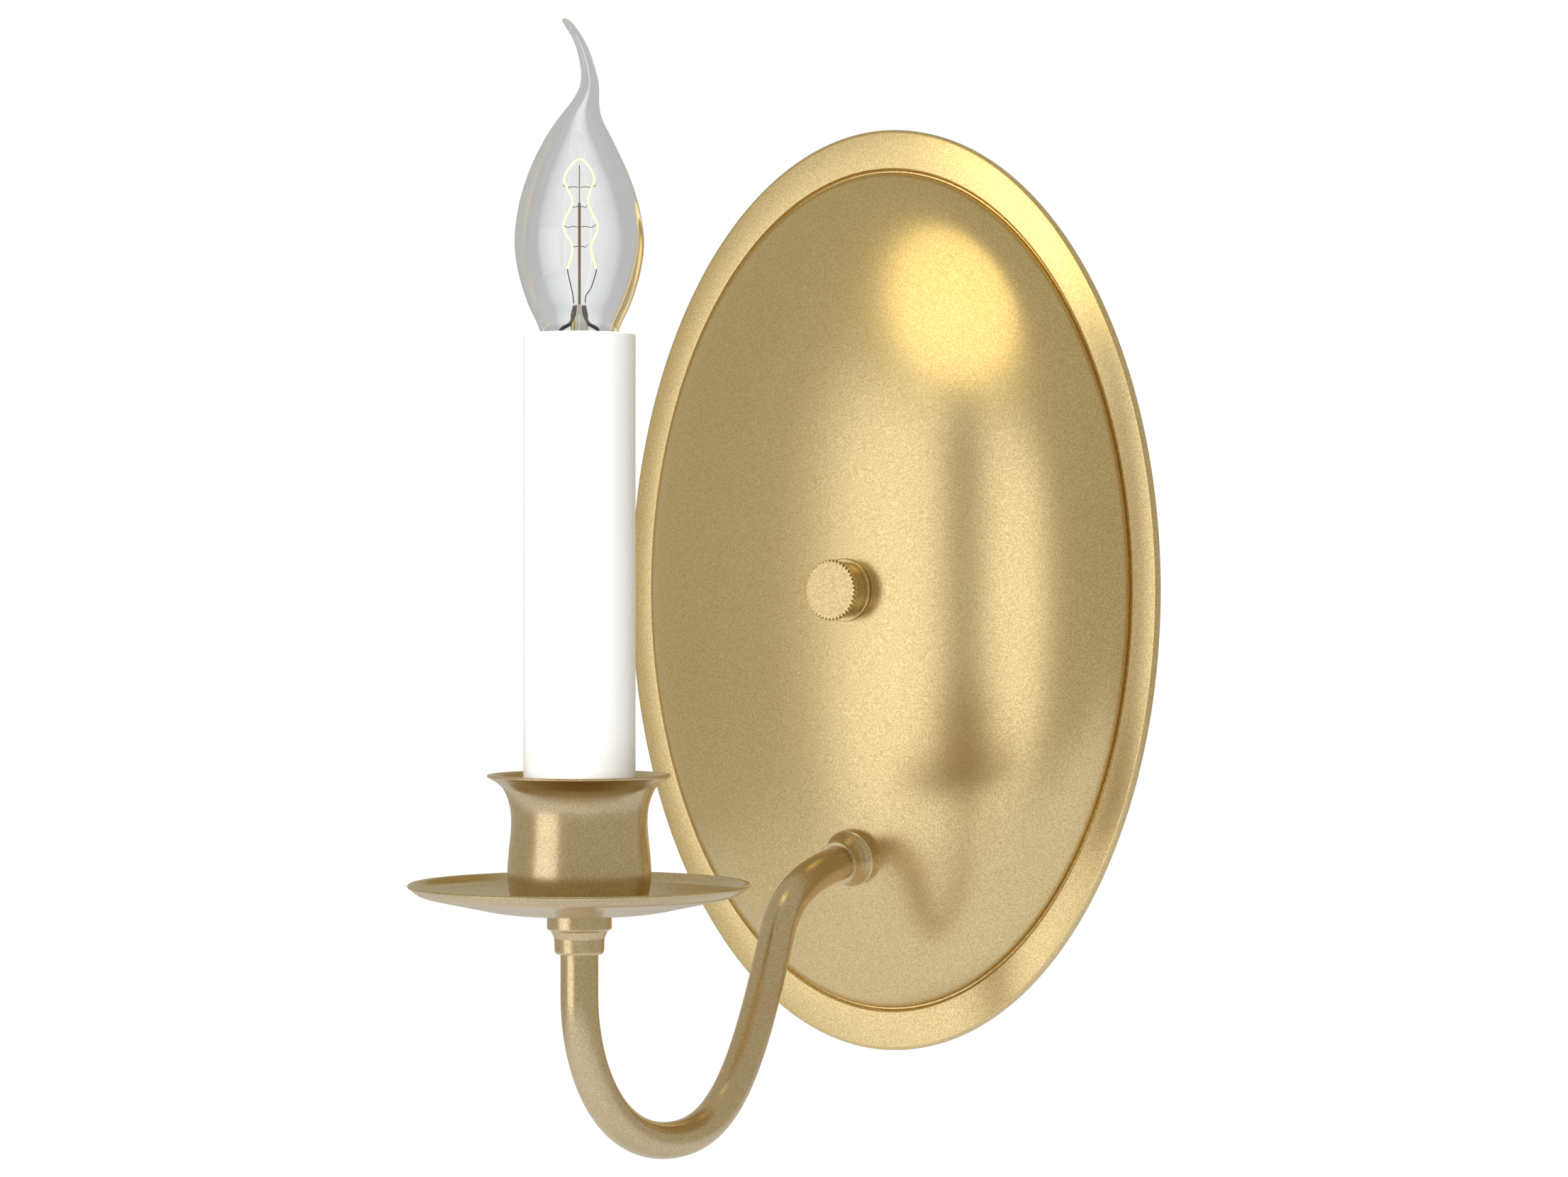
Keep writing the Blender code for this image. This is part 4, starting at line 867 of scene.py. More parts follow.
# ================================================================== backplate and its fasteners
@dataclass
class Backplate:
    """The stamped oval plate with its domed face."""

    shop: Shop
    half_width: float = 69.5 * MM
    half_height: float = 101.5 * MM
    sheet: float = 0.8 * MM
    edge_depth: float = 1.87 * MM
    dome_depth: float = 16.3 * MM
    rim_width: float = 5.7 * MM
    groove_width: float = 0.7 * MM
    groove_depth: float = 0.75 * MM
    stud_hole: float = 2.4 * MM
    round_zone: float = 14 * MM         # the rings are round at the stud and oval from here on
    steps: int = 224
    rings: int = 56

    @property
    def edge(self) -> float:
        """Half width of the dome."""
        return self.half_width - self.rim_width - self.groove_width

    @property
    def floor(self) -> float:
        """Depth of the groove's floor in front of the wall."""
        return self.edge_depth - self.groove_depth

    @property
    def rise(self) -> float:
        """Height of the dome over the groove's floor."""
        return self.dome_depth - self.floor

    @property
    def tall(self) -> float:
        """Height of the oval over its width."""
        return self.half_height / self.half_width

    def depth(self, x: float, z: float) -> float:
        """Depth of the dome's outer face in front of the wall at a point."""
        share = (x / self.edge) ** 2 + (z / self.edge / self.tall) ** 2
        return self.floor + self.rise * sqrt(max(0.0, 1 - share))

    def mid_hollow(self, x: float, z: float, bar: float = 1.6 * MM) -> float:
        """Y of the middle of the hollow between the crossbar and the dome."""
        return -(bar + self.depth(x, z) - self.sheet) / 2

    def seat(self, point: Vector, along: Vector, lift: float = 0.0) -> Vector:
        """Slide a point along a direction until it lies on the dome's outer face.

        Args:
            point: a point near the dome.
            along: the direction to slide in.
            lift: height over the face.

        Returns:
            The point on the face.
        """
        for _ in range(12):
            error = -point.y - self.depth(point.x, point.z) - lift
            point = point + along * (error / max(along.y, 0.2))
        return point

    def face_rows(self) -> Rows:
        """Lay out the outer face.

        Returns:
            Its rows, from the stud's hole to the wall.
        """
        rows: Rows = []
        circle = [2 * pi * j / self.steps for j in range(self.steps)]
        radii = [self.stud_hole + (self.edge - self.stud_hole) * sin(pi / 2 * i / self.rings)
                 for i in range(self.rings + 1)]
        for r in radii:
            share = min(1.0, max(0.0, (r - self.stud_hole) / (self.round_zone - self.stud_hole)))
            oval = 1 + (self.tall - 1) * share
            row = [(r * cos(a), r * sin(a) * oval) for a in circle]
            rows.append([Vector((x, -self.depth(x, z), z)) for x, z in row])
        edge, floor, rim = self.edge / MM, self.floor / MM, self.edge_depth / MM
        start, end = (self.half_width - self.rim_width) / MM, self.half_width / MM
        rest = outline((edge, floor), (edge + 0.2, floor), (start - 0.1, rim, 0.25), (end, rim, 0.55), (end, 0.0),
                       ring=False, arc=6)[1:]
        for p in rest:
            rows.append([Vector((p.x * cos(a), -p.y, p.x * sin(a) * self.tall)) for a in circle])
        return rows

    def pierce(self, mesh: Mesh, start: Vector, axis: Vector, radius: float) -> None:
        """Open a round hole in the dome's single sheet.

        Args:
            mesh: the sheet's mesh.
            start: a point on the hole's axis, on the dome.
            axis: the hole's axis.
            radius: the hole's radius.
        """
        def away(vert: bmesh.types.BMVert) -> Vector:
            """Vector from the hole's axis to a vertex."""
            gap = vert.co - start
            return gap - axis * gap.dot(axis)

        with edited(mesh) as shape:
            inside = [v for v in shape.verts if away(v).length < radius]
            bmesh.ops.delete(shape, geom=inside, context="VERTS")
            near = [v for v in shape.verts if v.is_boundary and away(v).length < 2 * radius]
            for vert in near:
                gap = away(vert)
                vert.co = self.seat(vert.co - gap * (1 - radius / gap.length), -axis)

    def build(self) -> None:
        """Form the sheet, pierce it for the arm and give it its thickness."""
        mesh = skin(self.face_rows(), Wrap.OPEN)
        arm = Arm(self.shop, self)
        self.pierce(mesh, arm.exit, arm.axis, arm.radius + 0.3 * MM)
        mesh = with_modifier(mesh, "SOLIDIFY", thickness=self.sheet, offset=-1, use_even_offset=True)
        for vert in mesh.vertices:
            vert.co.y = min(vert.co.y, 0.0)
        self.shop.add("stamped_backplate", settle(mesh, 30), SATIN_BRASS, "backplate")


@dataclass
class CentreFastener(Group):
    """The stud, its lock nut, and the washer and knurled nut that hold the plate."""

    stud_radius: float = 2.1
    stud_low: float = 0.3
    stud_end: float = 20.57
    washer_back: float = 16.32
    washer_thickness: float = 0.86
    washer_radius: float = 6.9
    nut_back: float = 17.2
    nut_front: float = 22.14
    nut_radius: float = 6.6
    knurl_count: int = 42
    knurl_length: float = 1.0
    knurl_depth: float = 0.5

    def build(self) -> None:
        """Build the stud, its nut, the washer and the thumb nut."""
        stud = outline((0, self.stud_end), (self.stud_radius, self.stud_end, 0.3),
                       (self.stud_radius, self.stud_low, 0.3), (0, self.stud_low), ring=False)
        mesh = self.shop.ridged(turned(dense(stud, 0.12 * MM, ring=False), 40, Wrap.OPEN), ZINC, STUD_THREAD,
                                Depth=0.36, Low=self.stud_low, High=self.stud_end, Fade=0.6, Inner=1.8)
        self.put("threaded_stud", mesh, ZINC, "mounting_stud")
        nut = hex_ring(8.7 * MM, 1.62 * MM, 4.9 * MM, 2.15 * MM)
        self.put("stud_hex_nut", settle(nut), ZINC, "stud_lock_nut")
        top, back = self.washer_back + self.washer_thickness, self.washer_back
        washer = outline((self.washer_radius, top, 0.25), (self.washer_radius, back, 0.2), (2.4, back, 0.1),
                         (2.4, top, 0.1))
        self.put("thin_brass_washer", settle(turned(washer)), SATIN_BRASS, "nut_washer", body=Body.WASHER)
        front, neck = self.nut_front, self.nut_radius - self.knurl_depth
        nut = outline((0, front), (self.nut_radius - 0.8, front), (self.nut_radius, front, 0.1),
                      (self.nut_radius, front - self.knurl_length, 0.1),
                      (neck, front - self.knurl_length - 0.5, 0.3), (neck, self.nut_back, 0.3), (2.4, self.nut_back),
                      (2.4, self.nut_back + 3.4), (0, self.nut_back + 3.4), ring=False, arc=6)
        blank = turned(nut[:2] + dense(nut[2:], 0.3 * MM, ring=False), self.knurl_count * 8, Wrap.OPEN)
        mesh = self.shop.ridged(blank, SATIN_BRASS, 0.0, 38, float(self.knurl_count), 3.0, Depth=self.knurl_depth,
                                Low=front - self.knurl_length - 0.15, High=front + 0.15, Fade=0.1,
                                Inner=neck + 0.05)
        self.put("knurled_thumb_nut", mesh, SATIN_BRASS, "thumb_nut", body=Body.THUMB_NUT)


@dataclass
class Crossbar:
    """The mounting strap behind the plate, with its earth screw and wire."""

    shop: Shop
    plate: Backplate
    half_length: float = 50 * MM
    height: float = 18 * MM
    thickness: float = 1.6 * MM
    slot_x: float = 40 * MM
    slot_length: float = 12 * MM
    slot_width: float = 4.8 * MM
    screw_x: float = 27 * MM
    screw_radius: float = 2.0 * MM
    head_radius: float = 4.3            # in millimetres, like the next two
    head_low: float = 3.8
    head_high: float = 6.2
    wire_radius: float = 0.8 * MM

    def build(self) -> None:
        """Stamp the bar, turn its earth screw and bend the wire."""
        corner = 2.5 * MM
        bar = []
        for i, (sx, sy) in enumerate(((1, 1), (-1, 1), (-1, -1), (1, -1))):
            centre = (sx * (self.half_length - corner), sy * (self.height / 2 - corner))
            bar += [(centre[0] + corner * cos(pi / 2 * (i + t / 6)), centre[1] + corner * sin(pi / 2 * (i + t / 6)))
                    for t in range(7)]
        holes = [stadium(side * self.slot_x, 0, self.slot_length, self.slot_width) for side in (-1, 1)]
        holes += [circle_line(0, 0, 2.4 * MM), circle_line(self.screw_x, 0, self.screw_radius + 0.3 * MM)]
        back = TO_FRONT @ Matrix.Translation((0, 0, self.thickness / 2))
        self.shop.add("slotted_crossbar", stamped([bar] + holes, self.thickness, 0.18 * MM), ROLLED_STEEL,
                      "crossbar", at=back)
        self.build_screw()
        hook_y = -(self.thickness + 0.3 * MM + self.wire_radius)
        hook_radius = self.screw_radius + 0.3 * MM + self.wire_radius
        hook = [Vector((self.screw_x + hook_radius * cos(radians(a)), hook_y, hook_radius * sin(radians(a))))
                for a in range(150, -61, -10)]
        lug = Arm(self.shop, self.plate).lug_tail
        low_x, edge = self.screw_x, -self.height / 2
        route = [hook[-1], (low_x - 1 * MM, hook_y - 0.5 * MM, edge),
                 (low_x + 2 * MM, self.plate.mid_hollow(low_x, edge), 2.2 * edge),
                 (low_x, self.plate.mid_hollow(low_x, 4 * edge), 4 * edge),
                 (lug.x + 6 * MM, lug.y + 1.6 * MM, lug.z + 1 * MM), lug]
        wire = self.shop.wire(hook[:-1] + smooth_curve(route, 12), self.wire_radius, COPPER)
        self.shop.add("bare_earth_wire", wire, COPPER, "ground_wire")

    def build_screw(self) -> None:
        """Turn the green earth screw with its slotted hex washer head."""
        low, high = self.head_low, self.head_high
        shank = outline((0, high), (3.1, high, 0.3), (3.3, low + 0.7, 0.2), (self.head_radius, low + 0.5, 0.15),
                        (self.head_radius, low, 0.1), (self.screw_radius / MM, low), (self.screw_radius / MM, 0.3, 0.2),
                        (0, 0.3), ring=False)
        mesh = self.shop.ridged(turned(dense(shank, 0.16 * MM, ring=False), 48, Wrap.OPEN), GREEN_ZINC, STUD_THREAD,
                                Depth=0.3, Low=0.3, High=low, Fade=0.4, Inner=1.8)
        saw = bpy.data.meshes.new("saw")
        with edited(saw) as shape:
            bmesh.ops.create_cube(shape, size=1.0)
            shape.transform(Matrix.Translation((0, 0, high * MM)) @ Matrix.Diagonal((9 * MM, 0.9 * MM, 2 * MM, 1)))
        tool = link_new("saw", saw)
        mesh = with_modifier(mesh, "BOOLEAN", object=tool, operation="DIFFERENCE", solver="EXACT")
        bpy.data.objects.remove(tool)
        self.shop.add("green_earth_screw", mesh, GREEN_ZINC, "ground_screw",
                      at=Matrix.Translation((self.screw_x, 0, 0)) @ TO_FRONT)


# ================================================================== arm
@dataclass
class Arm:
    """The bent tube with its collar, and the lock washer, lug and nut behind the dome."""

    shop: Shop
    plate: Backplate
    reach: float = 109.68 * MM
    radius: float = 3.75 * MM
    wall: float = 0.8 * MM
    exit_drop: float = 58.25 * MM
    tilt: float = radians(10)
    thread_length: float = 7.4 * MM
    collar_length: float = 6.4 * MM
    bend_out: float = 28.95 * MM
    bend_drop: float = 14.7 * MM
    bend_angle: float = radians(68.8)
    low_back: float = 32.0 * MM
    low_drop: float = 54.1 * MM
    straight_low: float = -80.0 * MM
    top: float = -67.7 * MM
    washer_radius: float = 7.4          # of washer and lug; this and the next three are in millimetres
    washer_height: float = 0.7
    lug_height: float = 0.8
    nut_height: float = 2.6

    @property
    def exit(self) -> Vector:
        """Point where the arm's middle line leaves the dome."""
        return Vector((0, -self.plate.depth(0, -self.exit_drop), -self.exit_drop))

    @property
    def axis(self) -> Vector:
        """Direction in which the arm leaves the dome."""
        return Vector((0, -cos(self.tilt), -sin(self.tilt)))

    @property
    def exit_place(self) -> Matrix:
        """Turns a piece built along +Z to lie along the arm where it leaves the dome."""
        return Matrix.Translation(self.exit) @ Matrix.Rotation(pi / 2 + self.tilt, 4, "X")

    @property
    def lug_tail(self) -> Vector:
        """Point where the earth wire meets the lug."""
        return self.exit - self.axis * 2.8 * MM + Vector((14.5 * MM, 0, 0))

    def line(self, counts: Sequence[int]) -> list[Vector]:
        """Draw the arm's middle line.

        Args:
            counts: count of spans for each stretch.

        Returns:
            The line's points, from the threaded end to the coupling.
        """
        third = self.axis * (self.thread_length / 3)
        inner = self.exit - self.axis * self.thread_length
        front = self.exit + self.axis * self.collar_length
        bend = self.exit + Vector((0, -self.bend_out, -self.bend_drop))
        steep = Vector((0, -cos(self.bend_angle), -sin(self.bend_angle)))
        low = Vector((0, self.low_back - self.reach, self.exit.z - self.low_drop))
        rise = Vector((0, -self.reach, self.straight_low))
        top = Vector((0, -self.reach, self.top))
        knots = [(inner, inner, inner + third), (front, front - third, front + self.axis * 6.7 * MM),
                 (bend, bend - steep * 11.0 * MM, bend + steep * 29.6 * MM),
                 (low, low + Vector((0, 17.0 * MM, 0)), low - Vector((0, 21.3 * MM, 0))),
                 (rise, rise - Vector((0, 0, 15.9 * MM)), rise + Vector((0, 0, 3 * MM))),
                 (top, top - Vector((0, 0, 3 * MM)), top)]
        line = []
        for (a, _, b), (d, c, _), count in zip(knots, knots[1:], counts):
            for step in range(count):
                t = step / count
                line.append(a * (1 - t) ** 3 + b * 3 * (1 - t) ** 2 * t + c * 3 * (1 - t) * t * t + d * t ** 3)
        return line + [top]

    def build(self) -> None:
        """Bend the tube and turn its fasteners."""
        tube = self.shop.wire(self.line((8, 24, 36, 40, 8)), self.radius, TURNED_BRASS, 64, caps=False)
        tube = with_modifier(tube, "SOLIDIFY", thickness=self.wall, offset=-1, use_even_offset=True)
        self.shop.add("bent_arm_tube", settle(tube, 40), TURNED_BRASS, "arm_tube")
        self.build_collar()
        inner = self.radius / MM + 0.05
        sheet = self.plate.sheet / MM
        start = -(sheet + 0.35)
        wide, low = self.washer_radius, start - self.washer_height
        ring = outline((wide, start, 0.12), (wide, low, 0.12), (inner, low, 0.1), (inner, start, 0.1))
        self.shop.add("arm_spring_washer", settle(turned(ring)), ZINC, "arm_lock_washer", at=self.exit_place)
        start -= 0.8
        lug = [(wide * cos(a), wide * sin(a)) for a in (radians(16 + 328 * i / 60) for i in range(61))]
        lug += [(13.1, -2.0), (13.1, 2.0)]
        blank = stamped([[(x * MM, y * MM) for x, y in lug], circle_line(0, 0, inner * MM, 48)],
                        self.lug_height * MM, 0.12 * MM)
        self.shop.add("earth_lug", blank, ZINC, "ground_lug",
                      at=self.exit_place @ Matrix.Translation((0, 0, (start - self.lug_height / 2) * MM)))
        start -= 1.0
        nut = settle(hex_ring(NUT_FLATS, (start - self.nut_height) * MM, start * MM, inner * MM))
        self.shop.add("arm_hex_nut", nut, ZINC, "arm_lock_nut", at=self.exit_place)

    def build_collar(self) -> None:
        """Turn the collar and seat its wide band on the curve of the dome."""
        inner, steps, lift = self.radius / MM + 0.04, 128, 0.02 * MM
        face = outline((inner, 6.4, 0.12), (4.75, 6.4, 0.18), (4.75, 5.5, 0.2), (4.95, 4.5, 0.5), (5.45, 3.1, 0.35),
                       (5.95, 1.95, 0.1), (6.2, 1.7, 0.15), (6.2, -1.5), ring=False, arc=5)
        mesh = turned(face, steps, Wrap.OPEN)
        mesh.transform(self.exit_place)
        with edited(mesh) as shape:
            count = len(shape.verts) - steps
            for vert in list(shape.verts)[count:]:
                vert.co = self.plate.seat(vert.co, -self.axis, lift)
            low_ring = [e for e in shape.edges if e.is_boundary and min(v.index for v in e.verts) >= count]
            inward = bmesh.ops.extrude_edge_only(shape, edges=low_ring)["geom"]
            for vert in [g for g in inward if isinstance(g, bmesh.types.BMVert)]:
                flat = vert.co - self.exit
                flat -= self.axis * flat.dot(self.axis)
                vert.co -= flat * (1 - inner * MM / flat.length)
                vert.co = self.plate.seat(vert.co, -self.axis, lift)
            ends = [e for e in shape.edges if e.is_boundary]
            bmesh.ops.bridge_loops(shape, edges=ends)
        self.shop.add("turned_arm_collar", settle(mesh, 34), TURNED_BRASS, "arm_collar")


# ================================================================== pan, cup and candle
@dataclass
class PanAndCup(Group):
    """The coupling on the arm's end, the drip pan, the cup, and the nipple that clamps them."""

    seat: float = -64.1
    coupling_radius: float = 6.42
    neck_radius: float = 4.9
    coupling_height: float = 7.8
    pan_radius: float = 33.96
    pan_seat: float = 13.0
    pan_rim: float = -58.0
    sheet: float = 0.7
    cup_bottom: float = -62.8
    lip: float = -36.4
    wall: float = 0.9
    nipple_low: float = -67.0
    nipple_high: float = -50.3
    nipple_radius: float = 3.7
    nipple_bore: float = 2.8
    nut_low: float = -61.7
    nut_high: float = -58.9

    def build(self) -> None:
        """Build every piece of the group."""
        self.build_coupling()
        self.build_pan()
        self.build_cup()
        inner, outer, low, high = self.nipple_bore, self.nipple_radius, self.nipple_low, self.nipple_high
        tube = outline((outer, high, 0.2), (outer, low, 0.2), (inner, low, 0.1), (inner, high, 0.1))
        mesh = self.shop.ridged(turned(dense(tube, 0.16 * MM), 56), ZINC, NIPPLE_THREAD, Depth=0.4, Low=low,
                                High=high, Fade=0.6, Inner=3.3)
        self.put("threaded_nipple", mesh, ZINC, "cup_nipple")
        nut = hex_ring(NUT_FLATS, self.nut_low * MM, self.nut_high * MM, (outer + 0.05) * MM)
        self.put("cup_hex_nut", settle(nut), ZINC, "cup_lock_nut")

    def build_coupling(self) -> None:
        """Turn the coupling: a wide flange, a cove and a slim neck."""
        r, n, top = self.coupling_radius, self.neck_radius, self.seat + 0.28
        low = self.seat - self.coupling_height
        shape = outline((r, top, 0.3), (r, top - 3.1, 0.35), (n + 0.75, top - 3.55, 0.3), (n + 0.1, top - 4.9, 1.2),
                        (n, low + 0.5, 0.2), (n - 0.3, low, 0.15), (3.8, low, 0.1), (3.8, top, 0.1), arc=6)
        self.put("turned_coupling", settle(turned(shape), 40), TURNED_BRASS, "coupling")

    def build_pan(self) -> None:
        """Spin the shallow pan, with its raised edge rolled to a thin lip."""
        low, rim, edge = self.seat + 0.3, self.pan_rim, self.pan_radius
        crease = rim - 1.5
        top = smooth_curve([(8.0, low + self.sheet), (self.pan_seat, low + self.sheet),
                            (self.pan_seat + 4.5, low + self.sheet + 0.5), (self.pan_seat + 9, low + self.sheet + 1.45),
                            (edge - 5.4, crease - 0.75), (edge - 2.6, crease), (edge - 0.7, rim - 0.12)], 8)
        upper = [Vector((3.75, low + self.sheet))] + top
        lower = beside(upper, lambda p: -self.sheet)
        lip = smooth_curve([upper[-1], (edge - 0.28, rim), (edge, rim - 0.3), (edge - 0.12, rim - 0.62), lower[-1]], 4)
        line = upper + lip[1:-1] + lower[::-1]
        mesh = turned([p * MM for p in line], 192)
        self.put("spun_drip_pan", settle(mesh, 50), TURNED_BRASS, "drip_pan")

    def build_cup(self) -> None:
        """Spin the waisted cup with its flared lip."""
        low, lip, wall = self.cup_bottom - 0.28, self.lip, self.wall
        rising = ((12.4, 0.0), (13.1, 0.35), (13.42, 1.5), (14.0, 4.2), (14.25, 7.2), (14.0, 11.0), (13.6, 15.0),
                  (13.5, 18.0), (13.85, 20.8))
        flare = [(14.9, lip - 3.1), (16.2, lip - 1.7), (17.75, lip - 0.75)]
        outer = smooth_curve([(radius, low + rise) for radius, rise in rising] + flare, 6)
        inner = [p for p in beside(outer, lambda p: wall) if p.y > low + 1.6]
        edge = smooth_curve([outer[-1], (18.15, lip - 0.5), (18.2, lip - 0.15), (17.85, lip), inner[-1]], 4)
        line = outer + edge[1:-1] + inner[::-1] + [Vector((inner[0].x - 0.5, low + 1.0)), Vector((3.8, low + 1.0)),
                                                   Vector((3.8, low))]
        mesh = turned([p * MM for p in line[::-1]], 160)
        self.put("spun_candle_cup", settle(mesh, 50), TURNED_BRASS, "candle_cup")


@dataclass
class Candle(Group):
    """The white sleeve and the socket inside it."""

    radius: float = 11.1
    bore: float = 10.1
    top: float = 50.64
    bottom: float = -61.5
    socket_radius: float = 9.4
    socket_low: float = 5.6
    socket_high: float = 31.5

    def build(self) -> Object:
        """Build the sleeve, the socket's body and its screw shell.

        Returns:
            The sleeve.
        """
        tube = outline((self.radius, self.top, 0.35), (self.radius, self.bottom, 0.2), (self.bore, self.bottom, 0.2),
                       (self.bore, self.top, 0.3), arc=6)
        mesh = settle(turned(dense(tube, 6 * MM), 160))
        sleeve = self.put("white_candle_sleeve", mesh, CANDLE_WHITE, "candle_sleeve", body=Body.SLEEVE)
        low, high, wide = self.socket_low, self.socket_high, self.socket_radius
        body = outline((wide, high, 0.5), (wide, low, 0.8), (1.5, low, 0.2), (1.5, low + 3.2, 0.2),
                       (6.85, low + 3.2, 0.4), (6.85, high, 0.3))
        self.put("phenolic_socket", settle(turned(dense(body, 4 * MM), 80)), PHENOLIC, "socket_body")
        shell = outline((6.52, 29.5, 0.1), (6.52, 11.2, 0.1), (6.17, 11.2, 0.1), (6.17, 29.5, 0.1))
        mesh = self.shop.ridged(turned(dense(shell, 0.3 * MM), 72), SHELL_BRASS, LAMP_THREAD, Depth=-0.25,
                                Low=12.5, High=28.5, Fade=1.0, Inner=0.0)
        self.put("rolled_screw_shell", mesh, SHELL_BRASS, "screw_shell")
        dress(ZINC, "socket_bracket", "socket_rivet")
        dress(SHELL_BRASS, "centre_contact")
        return sleeve


# ================================================================== lamp
@dataclass
class Lamp(Group):
    """The flame-tip lamp: envelope, stem, filament and threaded cap."""

    body: Body = Body.LAMP
    side: Vector = field(default_factory=lambda: Vector((0.818, 0.575, 0.0)))
    wall: float = 0.7
    neck: float = 5.05
    base: float = 30.0
    top: float = 113.1

    def sway(self) -> Callable[[float], float]:
        """Draw the bend of the envelope's tip.

        Returns:
            A function that gives the middle line's sideways offset at a height, in millimetres.
        """
        line = smooth_curve([(86.0, -0.25), (93.0, 0.1), (99.5, 1.95), (104.5, 1.4), (109.0, -0.2),
                             (self.top, -2.9)], 12)

        def offset(height: float) -> float:
            """Read the offset at one height.

            Args:
                height: the height, in millimetres.

            Returns:
                The offset.
            """
            if height <= line[0].x:
                return line[0].y * max(0.0, (height - 70) / (line[0].x - 70))
            for low, high in zip(line, line[1:]):
                if height <= high.x:
                    return low.y + (high.y - low.y) * (height - low.x) / (high.x - low.x)
            return line[-1].y
        return offset

    def build(self) -> Object:
        """Build every piece of the lamp.

        Returns:
            The glass envelope.
        """
        self.build_cap()
        self.build_stem()
        self.build_filament()
        return self.build_envelope()

    def build_envelope(self) -> Object:
        """Blow the envelope with its drawn and bent tip.

        Returns:
            The envelope.
        """
        knots = [(self.neck, self.base), (self.neck, 34.5), (5.9, 42.0), (7.7, 51.0), (10.3, 57.0), (12.2, 63.5),
                 (12.8, 69.5), (11.9, 76.0), (9.9, 82.4), (7.0, 88.6), (3.3, 95.3), (1.75, 100.5), (1.2, 107.0),
                 (0.95, 112.0)]
        rising = smooth_curve(knots, 7)
        tip = [Vector((0.93 * cos(a), self.top - 0.93 + 0.93 * sin(a))) for a in (radians(15 * i) for i in range(1, 7))]
        tip[-1].x = 0.0
        outer = (rising[:-1] + tip)[::-1]
        inner = beside(rising, lambda p: min(self.wall, p.x * 0.45))
        inner = [p for p in inner if p.y < self.top - 2.2]
        inner.append(Vector((0.0, inner[-1].y + 0.5)))
        mesh = turned([p * MM for p in outer + inner], 96, Wrap.OPEN)
        offset = self.sway()
        for vert in mesh.vertices:
            vert.co += self.side * offset(vert.co.z / MM) * MM
        obj = self.put("flame_tip_envelope", settle(mesh, 60), LAMP_GLASS, "bulb_glass")
        obj.visible_shadow = False
        return obj

    def build_cap(self) -> None:
        """Roll the threaded cap, and turn the insulator and the contact under it."""
        inner = 5.45
        cap = outline((5.85, 33.0, 0.1), (5.85, 15.4, 0.3), (5.05, 14.2, 0.2), (inner - 1.2, 14.2, 0.1),
                      (inner, 15.4, 0.2), (inner, 33.0, 0.1))
        mesh = self.shop.ridged(turned(dense(cap, 0.3 * MM), 72), LAMP_NICKEL, LAMP_THREAD, Depth=0.35,
                                Low=15.6, High=28.5, Fade=1.0, Inner=5.2)
        self.put("rolled_lamp_cap", mesh, LAMP_NICKEL, "bulb_cap")
        glass = outline((0, 13.9), (4.95, 13.9, 0.3), (4.4, 13.0, 0.5), (2.9, 12.2, 0.3), (0, 12.2), ring=False, arc=6)
        mesh = settle(turned(glass, 72, Wrap.OPEN))
        self.put("cap_insulating_glass", mesh, PHENOLIC, "cap_insulator")
        solder = outline((0, 11.9), (2.3, 11.9, 0.2), (2.0, 11.25, 0.6), (0.6, 11.0, 0.5), (0, 11.0), ring=False, arc=6)
        mesh = settle(turned(solder, 48, Wrap.OPEN))
        self.put("contact_solder_button", mesh, LAMP_NICKEL, "contact_button", body=Body.BUTTON)

    def build_stem(self) -> None:
        """Press the flared stem flat at its pinch, and stand the post on it."""
        line = outline((0, 56.5), (1.3, 56.5, 0.4), (1.75, 54.5, 1.0), (1.7, 40.0, 2.0), (2.6, 34.5, 3.0), (3.75, 31.0),
                       (0, 31.0), ring=False, arc=6)
        mesh = turned(dense(line, 1 * MM, ring=False), 48, Wrap.OPEN)
        across = self.side.cross(Vector((0, 0, 1)))
        for vert in mesh.vertices:
            pinch = min(1.0, max(0.0, (vert.co.z / MM - 44) / 6))
            vert.co -= across * across.dot(vert.co) * 0.5 * pinch
        self.put("pressed_glass_stem", settle(mesh, 50), STEM_GLASS, "glass_stem")
        post = outline((0, 84.0), (0.1, 84.0), (0.1, 76.8, 0.1), (0.28, 76.4, 0.1), (0.28, 56.6), (0, 56.6),
                       ring=False)
        self.put("filament_post_rod", settle(turned(post, 24, Wrap.OPEN)), BROWN_ROD, "filament_post")

    def route(self, knots: Sequence[tuple[float, float]], spans: int) -> list[Vector]:
        """Run a curve through points that are given sideways and up."""
        return [(self.side * p.x + Vector((0, 0, p.y))) * MM for p in smooth_curve(knots, spans)]

